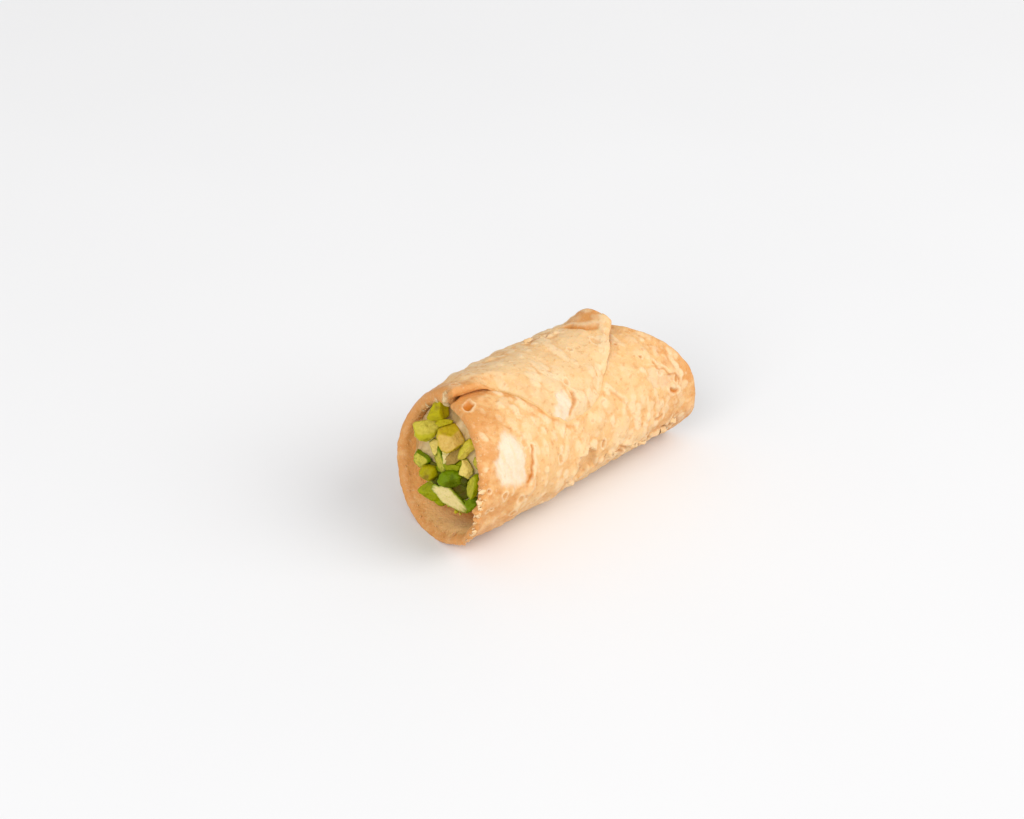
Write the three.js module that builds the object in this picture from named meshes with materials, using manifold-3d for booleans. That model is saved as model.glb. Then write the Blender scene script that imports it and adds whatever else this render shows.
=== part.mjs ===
// A cannoli: one sheet of fried dough rolled round a tube form, filled with cream from end to end,
// with chopped pistachio pressed into the cream at both mouths. Millimetres, +Z up.
//
// The roll lies along X. A place on it is given by its distance s along the roll, its turn angle in
// degrees (0 at the top, 90 on the -Y side, 180 underneath, 360 at the top again, where the sheet
// passes over its own start) and its radius from the roll's axis.
import * as THREE from 'three';
import { ConvexGeometry } from 'three/addons/geometries/ConvexGeometry.js';
import { ImprovedNoise } from 'three/addons/math/ImprovedNoise.js';
import { mergeVertices } from 'three/addons/utils/BufferGeometryUtils.js';
import Module from 'manifold-3d';

const wasm = await Module();
wasm.setup();

// ---- the roll ----
const RADIUS_NEAR = 20.0; // outside of one layer at s = 0
const RADIUS_FAR = 18.6; // outside of one layer at s = TAPER_LENGTH
const TAPER_LENGTH = 72;
const DOUGH = 3.0; // thickness of the sheet
const LAYER_GAP = 0.3; // between the sheet's start and the flap over it
const FLAP = 2.3; // thickness of the flap, which is rolled a little thinner
const PRESSED = 0.4; // how far the flap presses the layer under it inwards
const FLAT = 0.25; // how deep the underside is flattened where the roll rests

// ---- its ends: the middle of each rim, and how far it swings out on its long side ----
const NEAR_RIM = { middle: -7.8, swing: -4.5, longest: 142 };
const NEAR_LIP = { turn: 70, reach: 60, out: 1.3 }; // the front of the near rim stands out further
const NEAR_CORNER = { turn: 116, reach: 32, out: 1.3 }; // and so does its corner under the front
const FAR_RIM = { middle: 63.5, swing: 9.3, longest: 112, fullness: 0.35 };
const FAR_SHORTER = { from: 250, to: 360, by: 4 }; // the outer layer ends short of the inner one
const ROUNDED_OFF = { from: 342, to: 366, by: 1.8 }; // the corners between the rims and the flap

// ---- the flap: a near, a front and a far edge that meet in rounded corners ----
const FLAP_BEHIND_RIM = { start: 0.6, slope: 0.54 }; // slope: degrees of turn gained for each mm
const FLAP_NEAR = { start: 7.3, slope: 4.7 };
const FLAP_FRONT = 61.5; // degrees past the top
const FLAP_FAR = { start: 56, slope: 2.63 };
const FLAP_ROUNDING = { rim: 14, near: 16, far: 14 }; // degrees over which each corner is rounded
const TUCK = { shallow: -2, deep: -24, from: -3, to: 12 }; // where the sheet starts under the flap

// ---- grids ----
const TURN_STEPS = 84;
const LENGTH_STEPS = 24;
const EDGE_STEPS = 2; // points that round each edge of the sheet

const noise = new ImprovedNoise();
const rad = THREE.MathUtils.degToRad;
const { lerp, smoothstep, clamp } = THREE.MathUtils;

const baseRadius = (s) => lerp(RADIUS_NEAR, RADIUS_FAR, s / TAPER_LENGTH);
const axisHeight = (s) => baseRadius(s) - FLAT;

// A hump that is 1 at its middle and falls smoothly to 0 at its reach.
function hump(distance, reach) {
  const x = clamp(Math.abs(distance) / reach, 0, 1);
  return (1 - x * x) ** 2;
}

// The shorter way round from one angle to another.
const turnBetween = (a, b) => ((((a - b) % 360) + 540) % 360) - 180;

function cornerCut(turn) {
  return ROUNDED_OFF.by * smoothstep(turn, ROUNDED_OFF.from, ROUNDED_OFF.to);
}

// Where the rims lie. Past the top the flap keeps the place that they have there.
function nearRim(turn) {
  const swing = NEAR_RIM.swing * Math.cos(rad(Math.min(turn, 360) - NEAR_RIM.longest));
  const lip = NEAR_LIP.out * hump(turn - NEAR_LIP.turn, NEAR_LIP.reach);
  const corner = NEAR_CORNER.out * hump(turn - NEAR_CORNER.turn, NEAR_CORNER.reach);
  return NEAR_RIM.middle + swing - lip - corner + cornerCut(turn);
}

function farRim(turn) {
  const c = Math.cos(rad(Math.min(turn, 360) - FAR_RIM.longest));
  const swing = FAR_RIM.swing * c * (1 + FAR_RIM.fullness * (1 - c * c));
  const shorter = FAR_SHORTER.by * smoothstep(turn, FAR_SHORTER.from, FAR_SHORTER.to);
  return FAR_RIM.middle + swing - shorter - cornerCut(turn);
}

// The lower of two values, rounded off over this width where they meet.
function lower(a, b, width) {
  const blend = Math.max(width - Math.abs(a - b), 0) / width;
  return Math.min(a, b) - (blend * blend * width) / 4;
}

// The turn at which the flap ends past the top, for a distance along the roll.
function flapReach(s) {
  const behindRim = FLAP_BEHIND_RIM.slope * (s - FLAP_BEHIND_RIM.start);
  const near = FLAP_NEAR.slope * (s - FLAP_NEAR.start);
  const far = FLAP_FAR.slope * (FLAP_FAR.start - s);
  const first = -lower(-behindRim, -near, FLAP_ROUNDING.rim);
  return lower(lower(first, FLAP_FRONT, FLAP_ROUNDING.near), far, FLAP_ROUNDING.far);
}

// The turn at which the sheet starts, hidden under the flap except at the near mouth.
function tuckedStart(s) {
  return lerp(TUCK.shallow, TUCK.deep, smoothstep(s, TUCK.from, TUCK.to));
}

// ---- relief of the fried surface ----
// Burst blisters: place, half length, half width across, how deep the floor lies and how high the
// torn rim stands round it. Low whole blisters of two sizes cover the rest of the sheet.
const BURST_BLISTERS = [
  { s: -1.0, turn: 69, long: 6.2, wide: 7.6, deep: 1.0, rim: 0.8 },
  { s: 23.0, turn: 411.5, long: 3.4, wide: 4.0, deep: 0.7, rim: 0.5 },
  { s: 60.5, turn: 66, long: 5.0, wide: 5.6, deep: 0.9, rim: 0.8 },
  { s: 26.5, turn: 106, long: 5.6, wide: 4.4, deep: 0.9, rim: 1.0 },
];
const TORN_WIDTH = 0.45; // of a burst blister's rim, as a part of the blister's half width
const FLOOR_WIDTH = 0.95;
const LOW_BLISTERS = [
  { apart: 6.5, height: 0.45, seed: 3.7 },
  { apart: 3.1, height: 0.225, seed: 8.2 },
];

function blisters(turn, s) {
  const r = baseRadius(s);
  const side = r * rad(turn);
  let height = 0;
  for (const low of LOW_BLISTERS) {
    height += low.height * noise.noise(s / low.apart, side / low.apart, low.seed);
  }
  for (const burst of BURST_BLISTERS) {
    const x = (s - burst.s) / burst.long;
    const y = (r * rad(turn - burst.turn)) / burst.wide;
    const d = Math.hypot(x, y);
    height += burst.rim * hump(d - 1, TORN_WIDTH) - burst.deep * hump(d, FLOOR_WIDTH);
  }
  return height;
}

// The flap's far corner stands up off the roll as a curled lip, and its far edge as a low ridge.
const CURL = { from: 46.5, to: 53, turn: 353, reach: 32, height: 3.5 };
const CURL_FALL = { from: 53, to: 59, by: 0.5 }; // and the lip is lower again at its very edge
const FLAP_RIDGE = { from: 26, to: 40, reach: 12, height: 0.8 };

function curl(turn, s) {
  const fall = 1 - CURL_FALL.by * smoothstep(s, CURL_FALL.from, CURL_FALL.to);
  const height = CURL.height * smoothstep(s, CURL.from, CURL.to) * fall;
  const lip = height * hump(turn - CURL.turn, CURL.reach);
  if (turn < 360) return lip;
  const edge = hump(flapReach(s) - (turn - 360), FLAP_RIDGE.reach);
  return lip + FLAP_RIDGE.height * edge * smoothstep(s, FLAP_RIDGE.from, FLAP_RIDGE.to);
}

// The near mouth bulges at the back, is nipped in where the top turns down, and its front leans in.
// The far mouth opens out underneath.
const NEAR_BULGE = { turn: 235, reach: 78, out: 2.5 };
const NEAR_NIP = { turn: 315, reach: 55, out: -0.8 };
const NEAR_FRONT = { turn: 80, reach: 75, out: -1.4 };
const NEAR_UNDER = { turn: 155, reach: 40, out: -0.5 };
const FAR_UNDER = { turn: 150, reach: 70, out: 1.1 };
const NEAR_FLARE = { from: 6, to: -12, sharpness: 1.3 }; // the stretches of the roll that change
const FAR_FLARE = { from: 60, to: 74 };

function flare(turn, s) {
  const near = smoothstep(-s, -NEAR_FLARE.from, -NEAR_FLARE.to) ** NEAR_FLARE.sharpness;
  const far = smoothstep(s, FAR_FLARE.from, FAR_FLARE.to);
  let out = far * FAR_UNDER.out * hump(turn - FAR_UNDER.turn, FAR_UNDER.reach);
  for (const part of [NEAR_BULGE, NEAR_NIP, NEAR_FRONT, NEAR_UNDER]) {
    out += near * part.out * hump(turn - part.turn, part.reach);
  }
  return out;
}

// How far the outer layer has climbed over the start of the sheet. It climbs late at the near mouth.
const CLIMB_AT_MOUTH = { s: 0, from: 300, to: 357 };
const CLIMB_BEHIND = { s: 16, from: 215, to: 312 };

function climb(turn, s) {
  const along = smoothstep(s, CLIMB_AT_MOUTH.s, CLIMB_BEHIND.s);
  const from = lerp(CLIMB_AT_MOUTH.from, CLIMB_BEHIND.from, along);
  const to = lerp(CLIMB_AT_MOUTH.to, CLIMB_BEHIND.to, along);
  return (FLAP + LAYER_GAP - PRESSED) * smoothstep(turn, from, to);
}

// ---- the two faces of the sheet ----
const COVERED = { before: 1, past: 16 }; // degrees round the flap's edge over which the sheet rises
const SMOOTH_UNDERSIDE = 34; // degrees either side of the bottom that have no blisters
const PINCH = { before: 8, after: 2 }; // degrees over which the sheet thins to lie over its start
const MOUTH = { from: 2, to: -12 }; // the stretch of the near mouth whose wall is uneven
const THIN_WALL = { turn: 78, reach: 80, by: 1.1 };
const THICK_WALL = { turn: 255, reach: 120, by: 0.7 };

function pressedUnderFlap(turn, s) {
  if (turn > 180) return 0;
  return 1 - smoothstep(turn, flapReach(s) - COVERED.before, flapReach(s) + COVERED.past);
}

function outerRadius(turn, s) {
  const covered = pressedUnderFlap(turn, s);
  const underside = hump(turnBetween(turn, 180), SMOOTH_UNDERSIDE);
  const relief = (1 - covered) * (1 - underside) * blisters(turn, s);
  const lift = climb(turn, s) - PRESSED * covered + relief;
  return baseRadius(s) + lift + curl(turn, s) + flare(turn, s);
}

function innerRadius(turn, s) {
  const start = 360 + tuckedStart(s);
  const lifted = smoothstep(turn, start - PINCH.before, start - PINCH.after);
  const depth = lerp(DOUGH, PRESSED - LAYER_GAP, lifted);
  const uneven = smoothstep(-s, -MOUTH.from, -MOUTH.to) * (1 - lifted);
  const thinner = THIN_WALL.by * hump(turnBetween(turn, THIN_WALL.turn), THIN_WALL.reach);
  const thicker = THICK_WALL.by * hump(turnBetween(turn, THICK_WALL.turn), THICK_WALL.reach);
  return baseRadius(s) - depth + uneven * (thinner - thicker) + curl(turn, s) + flare(turn, s);
}

function place(turn, s, r) {
  const z = Math.max(axisHeight(s) + r * Math.cos(rad(turn)), 0);
  return new THREE.Vector3(s, -r * Math.sin(rad(turn)), z);
}

// ---- the sheet as one closed body ----
// A grid runs round the roll (i) and along it (j). Each face is that grid, set in from the sheet's
// outline by half its thickness, and the outline between the faces is rounded.
function sheetPlace(i, j) {
  const u = i / TURN_STEPS;
  const v = j / LENGTH_STEPS;
  const straight = lerp(nearRim(360), farRim(360), v);
  const turn = lerp(tuckedStart(straight), 360 + flapReach(straight), u);
  const s = lerp(nearRim(turn), farRim(turn), v);
  return { turn, s };
}

function buildShell() {
  const positions = [];
  const indices = [];
  const nodes = { outer: [], inner: [] };

  function addVertex(v) {
    positions.push(v.x, v.y, v.z);
    return positions.length / 3 - 1;
  }

  // The way out of the sheet at a grid point on its outline, along the roll and round it, in mm.
  function outward(i, j) {
    const way = new THREE.Vector2(0, 0);
    if (j === 0) way.x -= 1;
    if (j === LENGTH_STEPS) way.x += 1;
    if (i === 0) way.y -= 1;
    if (i === TURN_STEPS) way.y += 1;
    if (i === TURN_STEPS || i === 0) {
      const before = sheetPlace(i, Math.max(j - 1, 0));
      const after = sheetPlace(i, Math.min(j + 1, LENGTH_STEPS));
      const along = after.s - before.s;
      const round = baseRadius(0) * rad(after.turn - before.turn);
      const sign = i === 0 ? 1 : -1;
      const edge = new THREE.Vector2(sign * round, -sign * along).normalize();
      if (j > 0 && j < LENGTH_STEPS) return edge;
      way.add(edge);
    }
    return way.normalize();
  }

  // Points across the edge at a place on the outline, from the outer face to the inner one.
  function edgePoints(i, j) {
    const { turn, s } = sheetPlace(i, j);
    const way = outward(i, j);
    const half = (outerRadius(turn, s) - innerRadius(turn, s)) / 2;
    const middle = (outerRadius(turn, s) + innerRadius(turn, s)) / 2;
    const points = [];
    for (let k = 0; k <= EDGE_STEPS + 1; k += 1) {
      const a = rad(90 - (180 * k) / (EDGE_STEPS + 1));
      const inset = half * (Math.cos(a) - 1);
      const at = s + way.x * inset;
      const turned = turn + THREE.MathUtils.radToDeg((way.y * inset) / baseRadius(s));
      points.push(place(turned, at, middle + half * Math.sin(a)));
    }
    return points;
  }

  const outline = [];
  for (let i = 0; i < TURN_STEPS; i += 1) outline.push([i, 0]);
  for (let j = 0; j < LENGTH_STEPS; j += 1) outline.push([TURN_STEPS, j]);
  for (let i = TURN_STEPS; i > 0; i -= 1) outline.push([i, LENGTH_STEPS]);
  for (let j = LENGTH_STEPS; j > 0; j -= 1) outline.push([0, j]);

  const edges = outline.map(([i, j]) => {
    const ids = edgePoints(i, j).map(addVertex);
    nodes.outer[i * (LENGTH_STEPS + 1) + j] = ids[0];
    nodes.inner[i * (LENGTH_STEPS + 1) + j] = ids[ids.length - 1];
    return ids;
  });

  for (let i = 1; i < TURN_STEPS; i += 1) {
    for (let j = 1; j < LENGTH_STEPS; j += 1) {
      const { turn, s } = sheetPlace(i, j);
      const id = i * (LENGTH_STEPS + 1) + j;
      nodes.outer[id] = addVertex(place(turn, s, outerRadius(turn, s)));
      nodes.inner[id] = addVertex(place(turn, s, innerRadius(turn, s)));
    }
  }

  for (let i = 0; i < TURN_STEPS; i += 1) {
    for (let j = 0; j < LENGTH_STEPS; j += 1) {
      const a = i * (LENGTH_STEPS + 1) + j;
      const b = a + LENGTH_STEPS + 1;
      const [oa, ob, oc, od] = [a, b, b + 1, a + 1].map((n) => nodes.outer[n]);
      const [ia, ib, ic, id] = [a, b, b + 1, a + 1].map((n) => nodes.inner[n]);
      indices.push(oa, ob, oc, oa, oc, od);
      indices.push(ia, ic, ib, ia, id, ic);
    }
  }
  for (let n = 0; n < edges.length; n += 1) {
    const here = edges[n];
    const next = edges[(n + 1) % edges.length];
    for (let k = 0; k < here.length - 1; k += 1) {
      indices.push(here[k], here[k + 1], next[k + 1], here[k], next[k + 1], next[k]);
    }
  }

  const geometry = new THREE.BufferGeometry();
  geometry.setAttribute('position', new THREE.Float32BufferAttribute(positions, 3));
  geometry.setIndex(indices);
  return geometry;
}

// ---- joining ----
function toSolid(geometry) {
  const bare = geometry.clone();
  bare.deleteAttribute('normal');
  bare.deleteAttribute('uv');
  const merged = mergeVertices(bare, 1e-4);
  const mesh = new wasm.Mesh({
    numProp: 3,
    vertProperties: new Float32Array(merged.attributes.position.array),
    triVerts: new Uint32Array(merged.index.array),
  });
  return new wasm.Manifold(mesh);
}

function toGeometry(solid) {
  const mesh = solid.getMesh();
  const geometry = new THREE.BufferGeometry();
  geometry.setAttribute('position', new THREE.BufferAttribute(mesh.vertProperties, 3));
  geometry.setIndex(new THREE.BufferAttribute(mesh.triVerts, 1));
  return geometry;
}

// ---- the cream: a plug that runs through the roll, with an uneven face at each mouth ----
const CREAM_GAP = 0.35; // between the cream and the sheet round it
const NEAR_END = { middle: -3.6, across: -0.05, upward: 0.1, out: -1, seed: 1.3 };
const FAR_END = { middle: 57.5, across: -0.42, upward: -0.12, out: 1, seed: 6.1 };
const CREAM_TURNS = 36;
const CREAM_RINGS = [0.35, 0.68, 0.92]; // rings of each face, as parts of the radius
const CREAM_ROWS = [0, 0.06, 0.13, 0.25, 0.5, 0.8, 1]; // rows of the side, as parts of its length
const LUMP_SIZE = 4.5;
const LUMP_HEIGHT = 0.9;
const SHOULDER = 0.8; // how far the edge of a face falls back at the wall

function creamRadius(turn, s) {
  const sheet = innerRadius(turn, s);
  const start = turn > 300 ? innerRadius(turn - 360, s) : sheet;
  return Math.min(sheet, start) - CREAM_GAP;
}

// Where a face of the cream lies along the roll, at a place across the mouth.
function creamFace(end, y, z) {
  const lumps = LUMP_HEIGHT * noise.noise(y / LUMP_SIZE, z / LUMP_SIZE, end.seed);
  return end.middle + end.across * y + end.upward * z + lumps;
}

function facePoint(end, part, turn, back) {
  const r = part * creamRadius(turn, end.middle);
  const y = -r * Math.sin(rad(turn));
  const z = r * Math.cos(rad(turn));
  const s = creamFace(end, y, z) - end.out * back;
  return new THREE.Vector3(s, y, axisHeight(s) + z);
}

function buildCream() {
  const turns = Array.from({ length: CREAM_TURNS }, (_, k) => (360 * k) / CREAM_TURNS);
  const ring = (end, part) => turns.map((turn) => facePoint(end, part, turn, 0));
  const shoulder = (end) => turns.map((turn) => facePoint(end, 1, turn, SHOULDER).x);
  const from = shoulder(NEAR_END);
  const to = shoulder(FAR_END);
  const side = CREAM_ROWS.map((part) =>
    turns.map((turn, n) => {
      const s = lerp(from[n], to[n], part);
      return place(turn, s, creamRadius(turn, s));
    }),
  );
  const rows = [
    ...CREAM_RINGS.map((part) => ring(NEAR_END, part)),
    ...side,
    ...CREAM_RINGS.toReversed().map((part) => ring(FAR_END, part)),
  ];

  const points = rows.flat();
  const first = points.push(facePoint(NEAR_END, 0, 0, 0)) - 1;
  const last = points.push(facePoint(FAR_END, 0, 0, 0)) - 1;
  const end = (rows.length - 1) * CREAM_TURNS;
  const indices = [];
  for (let n = 0; n < CREAM_TURNS; n += 1) {
    const m = (n + 1) % CREAM_TURNS;
    indices.push(first, m, n);
    for (let a = 0; a < end; a += CREAM_TURNS) {
      const b = a + CREAM_TURNS;
      indices.push(a + n, a + m, b + m, a + n, b + m, b + n);
    }
    indices.push(last, end + n, end + m);
  }
  const geometry = new THREE.BufferGeometry().setFromPoints(points);
  geometry.setIndex(indices);
  return geometry;
}

// ---- chopped pistachio ----
// Each piece of the near mouth: how far its middle stands out of the cream, its place across the
// mouth, its length, width and thickness, and how far its length is turned from level, seen from
// outside. A half kernel has one flat, cut side that faces out.
const PIECES = [
  { out: 1.3, y: 5.0, z: 12.9, size: [5.2, 5.0, 4.8], turn: 60 },
  { out: 1.5, y: 8.5, z: 7.7, size: [8.4, 5.0, 4.2], turn: 8 },
  { out: 1.8, y: 0.0, z: 9.6, size: [7.6, 7.0, 5.4], turn: 120 },
  { out: 0.6, y: 6.9, z: 3.0, size: [4.4, 2.8, 3.0], turn: 105 },
  { out: 1.2, y: 10.7, z: -1.9, size: [5.2, 4.8, 4.2], turn: 30 },
  { out: 1.0, y: 4.9, z: 0.0, size: [7.4, 3.6, 3.4], turn: 120 },
  { out: 1.6, y: -5.5, z: 8.1, size: [6.4, 4.8, 4.6], turn: 50 },
  { out: 0.5, y: 0.2, z: 3.2, size: [5.6, 4.4, 3.4], turn: 30 },
  { out: 1.8, y: 7.5, z: -4.7, size: [5.4, 4.8, 4.8], turn: 0 },
  { out: 1.2, y: -0.9, z: 0.3, size: [5.6, 3.4, 3.6], turn: 10 },
  { out: 1.6, y: -6.0, z: 2.5, size: [5.8, 4.4, 4.4], turn: 70 },
  { out: 1.7, y: -1.6, z: -2.8, size: [8.8, 4.6, 4.6], turn: 165 },
  { out: 1.8, y: 7.0, z: -9.9, size: [6.0, 5.2, 4.8], turn: 20 },
  { out: 1.8, y: -0.6, z: -8.5, size: [12.0, 6.2, 4.8], turn: 145, half: true },
  { out: 1.1, y: -3.4, z: -5.6, size: [5.2, 4.0, 3.6], turn: 160 },
  { out: 1.5, y: -8.2, z: -1.5, size: [6.4, 3.8, 4.2], turn: 75 },
  { out: 1.2, y: -7.7, z: -7.2, size: [4.8, 3.6, 3.6], turn: 100 },
  { out: 1.2, y: -8.6, z: 5.4, size: [4.6, 3.2, 3.6], turn: 110 },
  { out: 1.0, y: -12.2, z: -4.4, size: [5.0, 4.0, 3.4], turn: 20 },
  { out: 1.0, y: -12.6, z: 1.2, size: [5.0, 3.6, 3.4], turn: 110 },
];
const FAR_TURN = 150; // at the far mouth the same pieces lie turned round the axis
const FAR_SCALE = 0.93; // and they take up less room, as the roll is narrower there
const KERNEL_JITTER = 0.16; // how uneven a chopped piece is
const KERNEL_GROWTH = 1.15; // a faceted piece is drawn larger, so that it keeps its size
const HALF_CUT = 0.12; // where a half kernel is cut, as a part of its thickness
const MOST_TILT = 14;
const TILT_STEP = 5; // radians from one piece's tilt to the next one's, along a sine

function chop(piece, seed) {
  const source = new THREE.IcosahedronGeometry(1, piece.half ? 1 : 0);
  const corners = mergeVertices(source.deleteAttribute('normal').deleteAttribute('uv'));
  const corner = corners.attributes.position;
  const points = [];
  THREE.MathUtils.seededRandom(seed);
  for (let k = 0; k < corner.count; k += 1) {
    const grow = 1 + KERNEL_JITTER * (2 * THREE.MathUtils.seededRandom() - 1);
    const v = new THREE.Vector3().fromBufferAttribute(corner, k);
    v.multiplyScalar((piece.half ? 1 : grow) * (KERNEL_GROWTH / 2));
    v.multiply(new THREE.Vector3(...piece.size));
    if (piece.half) v.z = Math.min(v.z, piece.size[2] * HALF_CUT);
    points.push(v);
  }
  return new ConvexGeometry(points);
}

// The pieces of one mouth, added to the cream.
function pressPieces(solid, end, around, scale) {
  const right = new THREE.Vector3(0, end.out, 0);
  const up = new THREE.Vector3(0, 0, 1);
  const front = new THREE.Vector3(end.out, 0, 0);
  const seenFromOutside = new THREE.Matrix4().makeBasis(right, up, front);
  return PIECES.reduce((joined, piece, n) => {
    const geometry = chop(piece, n + 1);
    geometry.rotateX(rad(MOST_TILT * Math.sin(TILT_STEP * n + end.seed)));
    geometry.rotateZ(rad(piece.turn + around));
    geometry.scale(scale, scale, scale);
    geometry.applyMatrix4(seenFromOutside);
    const across = new THREE.Vector2(piece.y, piece.z).multiplyScalar(scale);
    across.rotateAround(new THREE.Vector2(), rad(around));
    const s = creamFace(end, across.x, across.y) + end.out * piece.out * scale;
    geometry.translate(s, across.x, axisHeight(s) + across.y);
    return joined.add(toSolid(geometry));
  }, solid);
}

// ---- the model ----
const browned = { color: 0xe6b478, roughness: 0.62, metalness: 0 };
const creamAndNuts = { color: 0xb9b45c, roughness: 0.5, metalness: 0 };

const shell = new THREE.Mesh(buildShell(), new THREE.MeshStandardMaterial(browned));
shell.name = 'shell';

const nearDone = pressPieces(toSolid(buildCream()), NEAR_END, 0, 1);
const plug = pressPieces(nearDone, FAR_END, FAR_TURN, FAR_SCALE);
const filling = new THREE.Mesh(toGeometry(plug), new THREE.MeshStandardMaterial(creamAndNuts));
filling.name = 'filling';

const cannoli = new THREE.Group();
cannoli.add(shell, filling);

// The origin is under the middle of the whole, on the surface that it rests on.
const bounds = new THREE.Box3().setFromObject(cannoli, true);
const middle = bounds.getCenter(new THREE.Vector3());
cannoli.position.set(-middle.x, -middle.y, -bounds.min.z);

export default cannoli;
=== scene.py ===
# A cannoli on a pale table: a roll of blistered fried dough, full of cream, with chopped pistachio
# pressed into the cream at both mouths. Sizes are in millimetres until a mesh is made.
import itertools
import math

import bmesh
import bpy
import numpy as np
from mathutils import Euler, Matrix, Vector


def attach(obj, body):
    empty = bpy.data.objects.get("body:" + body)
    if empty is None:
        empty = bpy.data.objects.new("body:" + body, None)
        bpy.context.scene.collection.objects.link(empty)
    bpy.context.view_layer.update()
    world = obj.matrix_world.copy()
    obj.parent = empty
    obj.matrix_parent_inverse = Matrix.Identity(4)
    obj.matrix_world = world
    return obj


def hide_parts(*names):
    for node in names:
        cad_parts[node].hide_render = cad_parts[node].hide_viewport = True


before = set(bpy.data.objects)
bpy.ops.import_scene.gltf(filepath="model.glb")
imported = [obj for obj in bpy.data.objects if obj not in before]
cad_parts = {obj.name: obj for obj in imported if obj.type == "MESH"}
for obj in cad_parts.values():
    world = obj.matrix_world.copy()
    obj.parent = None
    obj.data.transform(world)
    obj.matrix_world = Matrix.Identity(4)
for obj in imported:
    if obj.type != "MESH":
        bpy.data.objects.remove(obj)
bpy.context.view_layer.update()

# ---- camera ----
# A long lens that looks down on the roll's near mouth and along the side where the flap hangs.
LENS = 80.86
CAMERA_PLACE = (-377.2, -367.5, 361.5)
CAMERA_DOWN = 32.8  # degrees below level
CAMERA_ROUND = 44.86  # degrees from +Y towards +X

camera = bpy.data.objects.new("camera", bpy.data.cameras.new("camera"))
camera.data.lens = LENS
camera.data.sensor_width = 36
camera.data.clip_end = 20
camera.location = Vector(CAMERA_PLACE) / 1000
turned = (90 - CAMERA_DOWN, 0, -CAMERA_ROUND)
camera.rotation_euler = Euler([math.radians(a) for a in turned])
bpy.context.scene.collection.objects.link(camera)
bpy.context.scene.camera = camera
bpy.context.scene.view_settings.view_transform = "Standard"

# ---- table and studio light ----
# A plain pale table that fills the view, white walls all round that give most of the light, a large
# soft lamp on the side where the flap hangs, and a weaker one before the near mouth.
TABLE_HALF = 6000
TABLE_COLOURS = [(232, 232, 233), (237, 237, 238)]
ROOM_COLOUR = (255, 255, 255)
ROOM_LIGHT = 0.6
LAMPS = [
    {"place": (1300, -2100, 1900), "size": 2200, "watts": 56.0, "colour": (1.0, 0.99, 0.975)},
    {"place": (-2100, -900, 1650), "size": 1800, "watts": 37.0, "colour": (1.0, 1.0, 1.0)},
]


def linear(colour):
    """A colour on a screen, from 0 to 255, as Blender's own numbers."""
    shares = [c / 255 for c in colour]
    return (*[c / 12.92 if c <= 0.04045 else ((c + 0.055) / 1.055) ** 2.4 for c in shares], 1.0)


class Shade:
    """A value in a material, so that sums on it are written as ordinary Python."""

    def __init__(self, tree, socket):
        self.tree = tree
        self.socket = socket

    def node(self, kind, settings=None, inputs=None, output=0):
        """A new node, its settings made first, then its sockets set or linked."""
        made = self.tree.nodes.new(kind)
        for name, value in (settings or {}).items():
            setattr(made, name, value)
        for name, value in (inputs or {}).items():
            if isinstance(value, Shade):
                self.tree.links.new(value.socket, made.inputs[name])
            else:
                made.inputs[name].default_value = value
        return Shade(self.tree, made.outputs[output])

    def maths(self, operation, *values):
        return self.node("ShaderNodeMath", {"operation": operation}, dict(enumerate(values)))

    def __add__(self, other):
        return self.maths("ADD", self, other)

    def __sub__(self, other):
        return self.maths("SUBTRACT", self, other)

    def __rsub__(self, other):
        return self.maths("SUBTRACT", other, self)

    def __mul__(self, other):
        return self.maths("MULTIPLY", self, other)

    __radd__ = __add__
    __rmul__ = __mul__

    def between(self, low, high):
        """0 below low, 1 above high, and a smooth rise from one to the other."""
        inputs = {"Value": self, "From Min": low, "From Max": high}
        return self.node("ShaderNodeMapRange", {"interpolation_type": "SMOOTHSTEP"}, inputs)

    def read(self, key):
        """The values that the mesh has at its points under this name."""
        return self.node("ShaderNodeAttribute", {"attribute_name": key}, output=2)

    def mix(self, first, second):
        """Two colours, mixed by this share of the second one."""
        inputs = {0: self, 6: first, 7: second}
        return self.node("ShaderNodeMix", {"data_type": "RGBA"}, inputs, output=2)


def start_material(name, **finish):
    """A new material whose main shader has these fixed values, and a first Shade to build on."""
    material = bpy.data.materials.new(name)
    material.use_nodes = True
    shader = material.node_tree.nodes["Principled BSDF"]
    for socket, value in finish.items():
        shader.inputs[socket.replace("_", " ")].default_value = value
    places = material.node_tree.nodes.new("ShaderNodeTexCoord")
    return material, Shade(material.node_tree, places.outputs["Object"])


def finish_material(shade, colour, height=None, depth=0.0001, roughness=None):
    """Leads a colour, a relief in metres and a roughness into the material's main shader."""
    shader = shade.tree.nodes["Principled BSDF"]
    shade.tree.links.new(colour.socket, shader.inputs["Base Color"])
    if roughness is not None:
        shade.tree.links.new(roughness.socket, shader.inputs["Roughness"])
    if height is not None:
        relief = shade.node("ShaderNodeBump", {}, {"Height": height, "Distance": depth})
        shade.tree.links.new(relief.socket, shader.inputs["Normal"])


GRAIN_OF_ONE = 600  # the scale at which noise has patches about 1 mm across


def grain(places, size, detail=2.0, stretch=(1, 1, 1)):
    """Noise from 0 to 1 whose patches are about this many millimetres across."""
    at = places.node("ShaderNodeMapping", {}, {"Vector": places, "Scale": stretch})
    inputs = {"Vector": at, "Scale": GRAIN_OF_ONE / size, "Detail": detail}
    return places.node("ShaderNodeTexNoise", {}, inputs)


table_mesh = bpy.data.meshes.new("table")
half = TABLE_HALF / 1000
corners = [(-half, -half, 0), (half, -half, 0), (half, half, 0), (-half, half, 0)]
table_mesh.from_pydata(corners, [], [(0, 1, 2, 3)])
table = bpy.data.objects.new("table", table_mesh)
bpy.context.scene.collection.objects.link(table)
paint, places = start_material("table_paint", Roughness=0.6, Specular_IOR_Level=0.2)
finish_material(places, grain(places, 90).mix(*map(linear, TABLE_COLOURS)))
table_mesh.materials.append(paint)

room = bpy.data.worlds.new("room")
room.use_nodes = True
room.node_tree.nodes["Background"].inputs["Color"].default_value = linear(ROOM_COLOUR)
room.node_tree.nodes["Background"].inputs["Strength"].default_value = ROOM_LIGHT
bpy.context.scene.world = room

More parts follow.
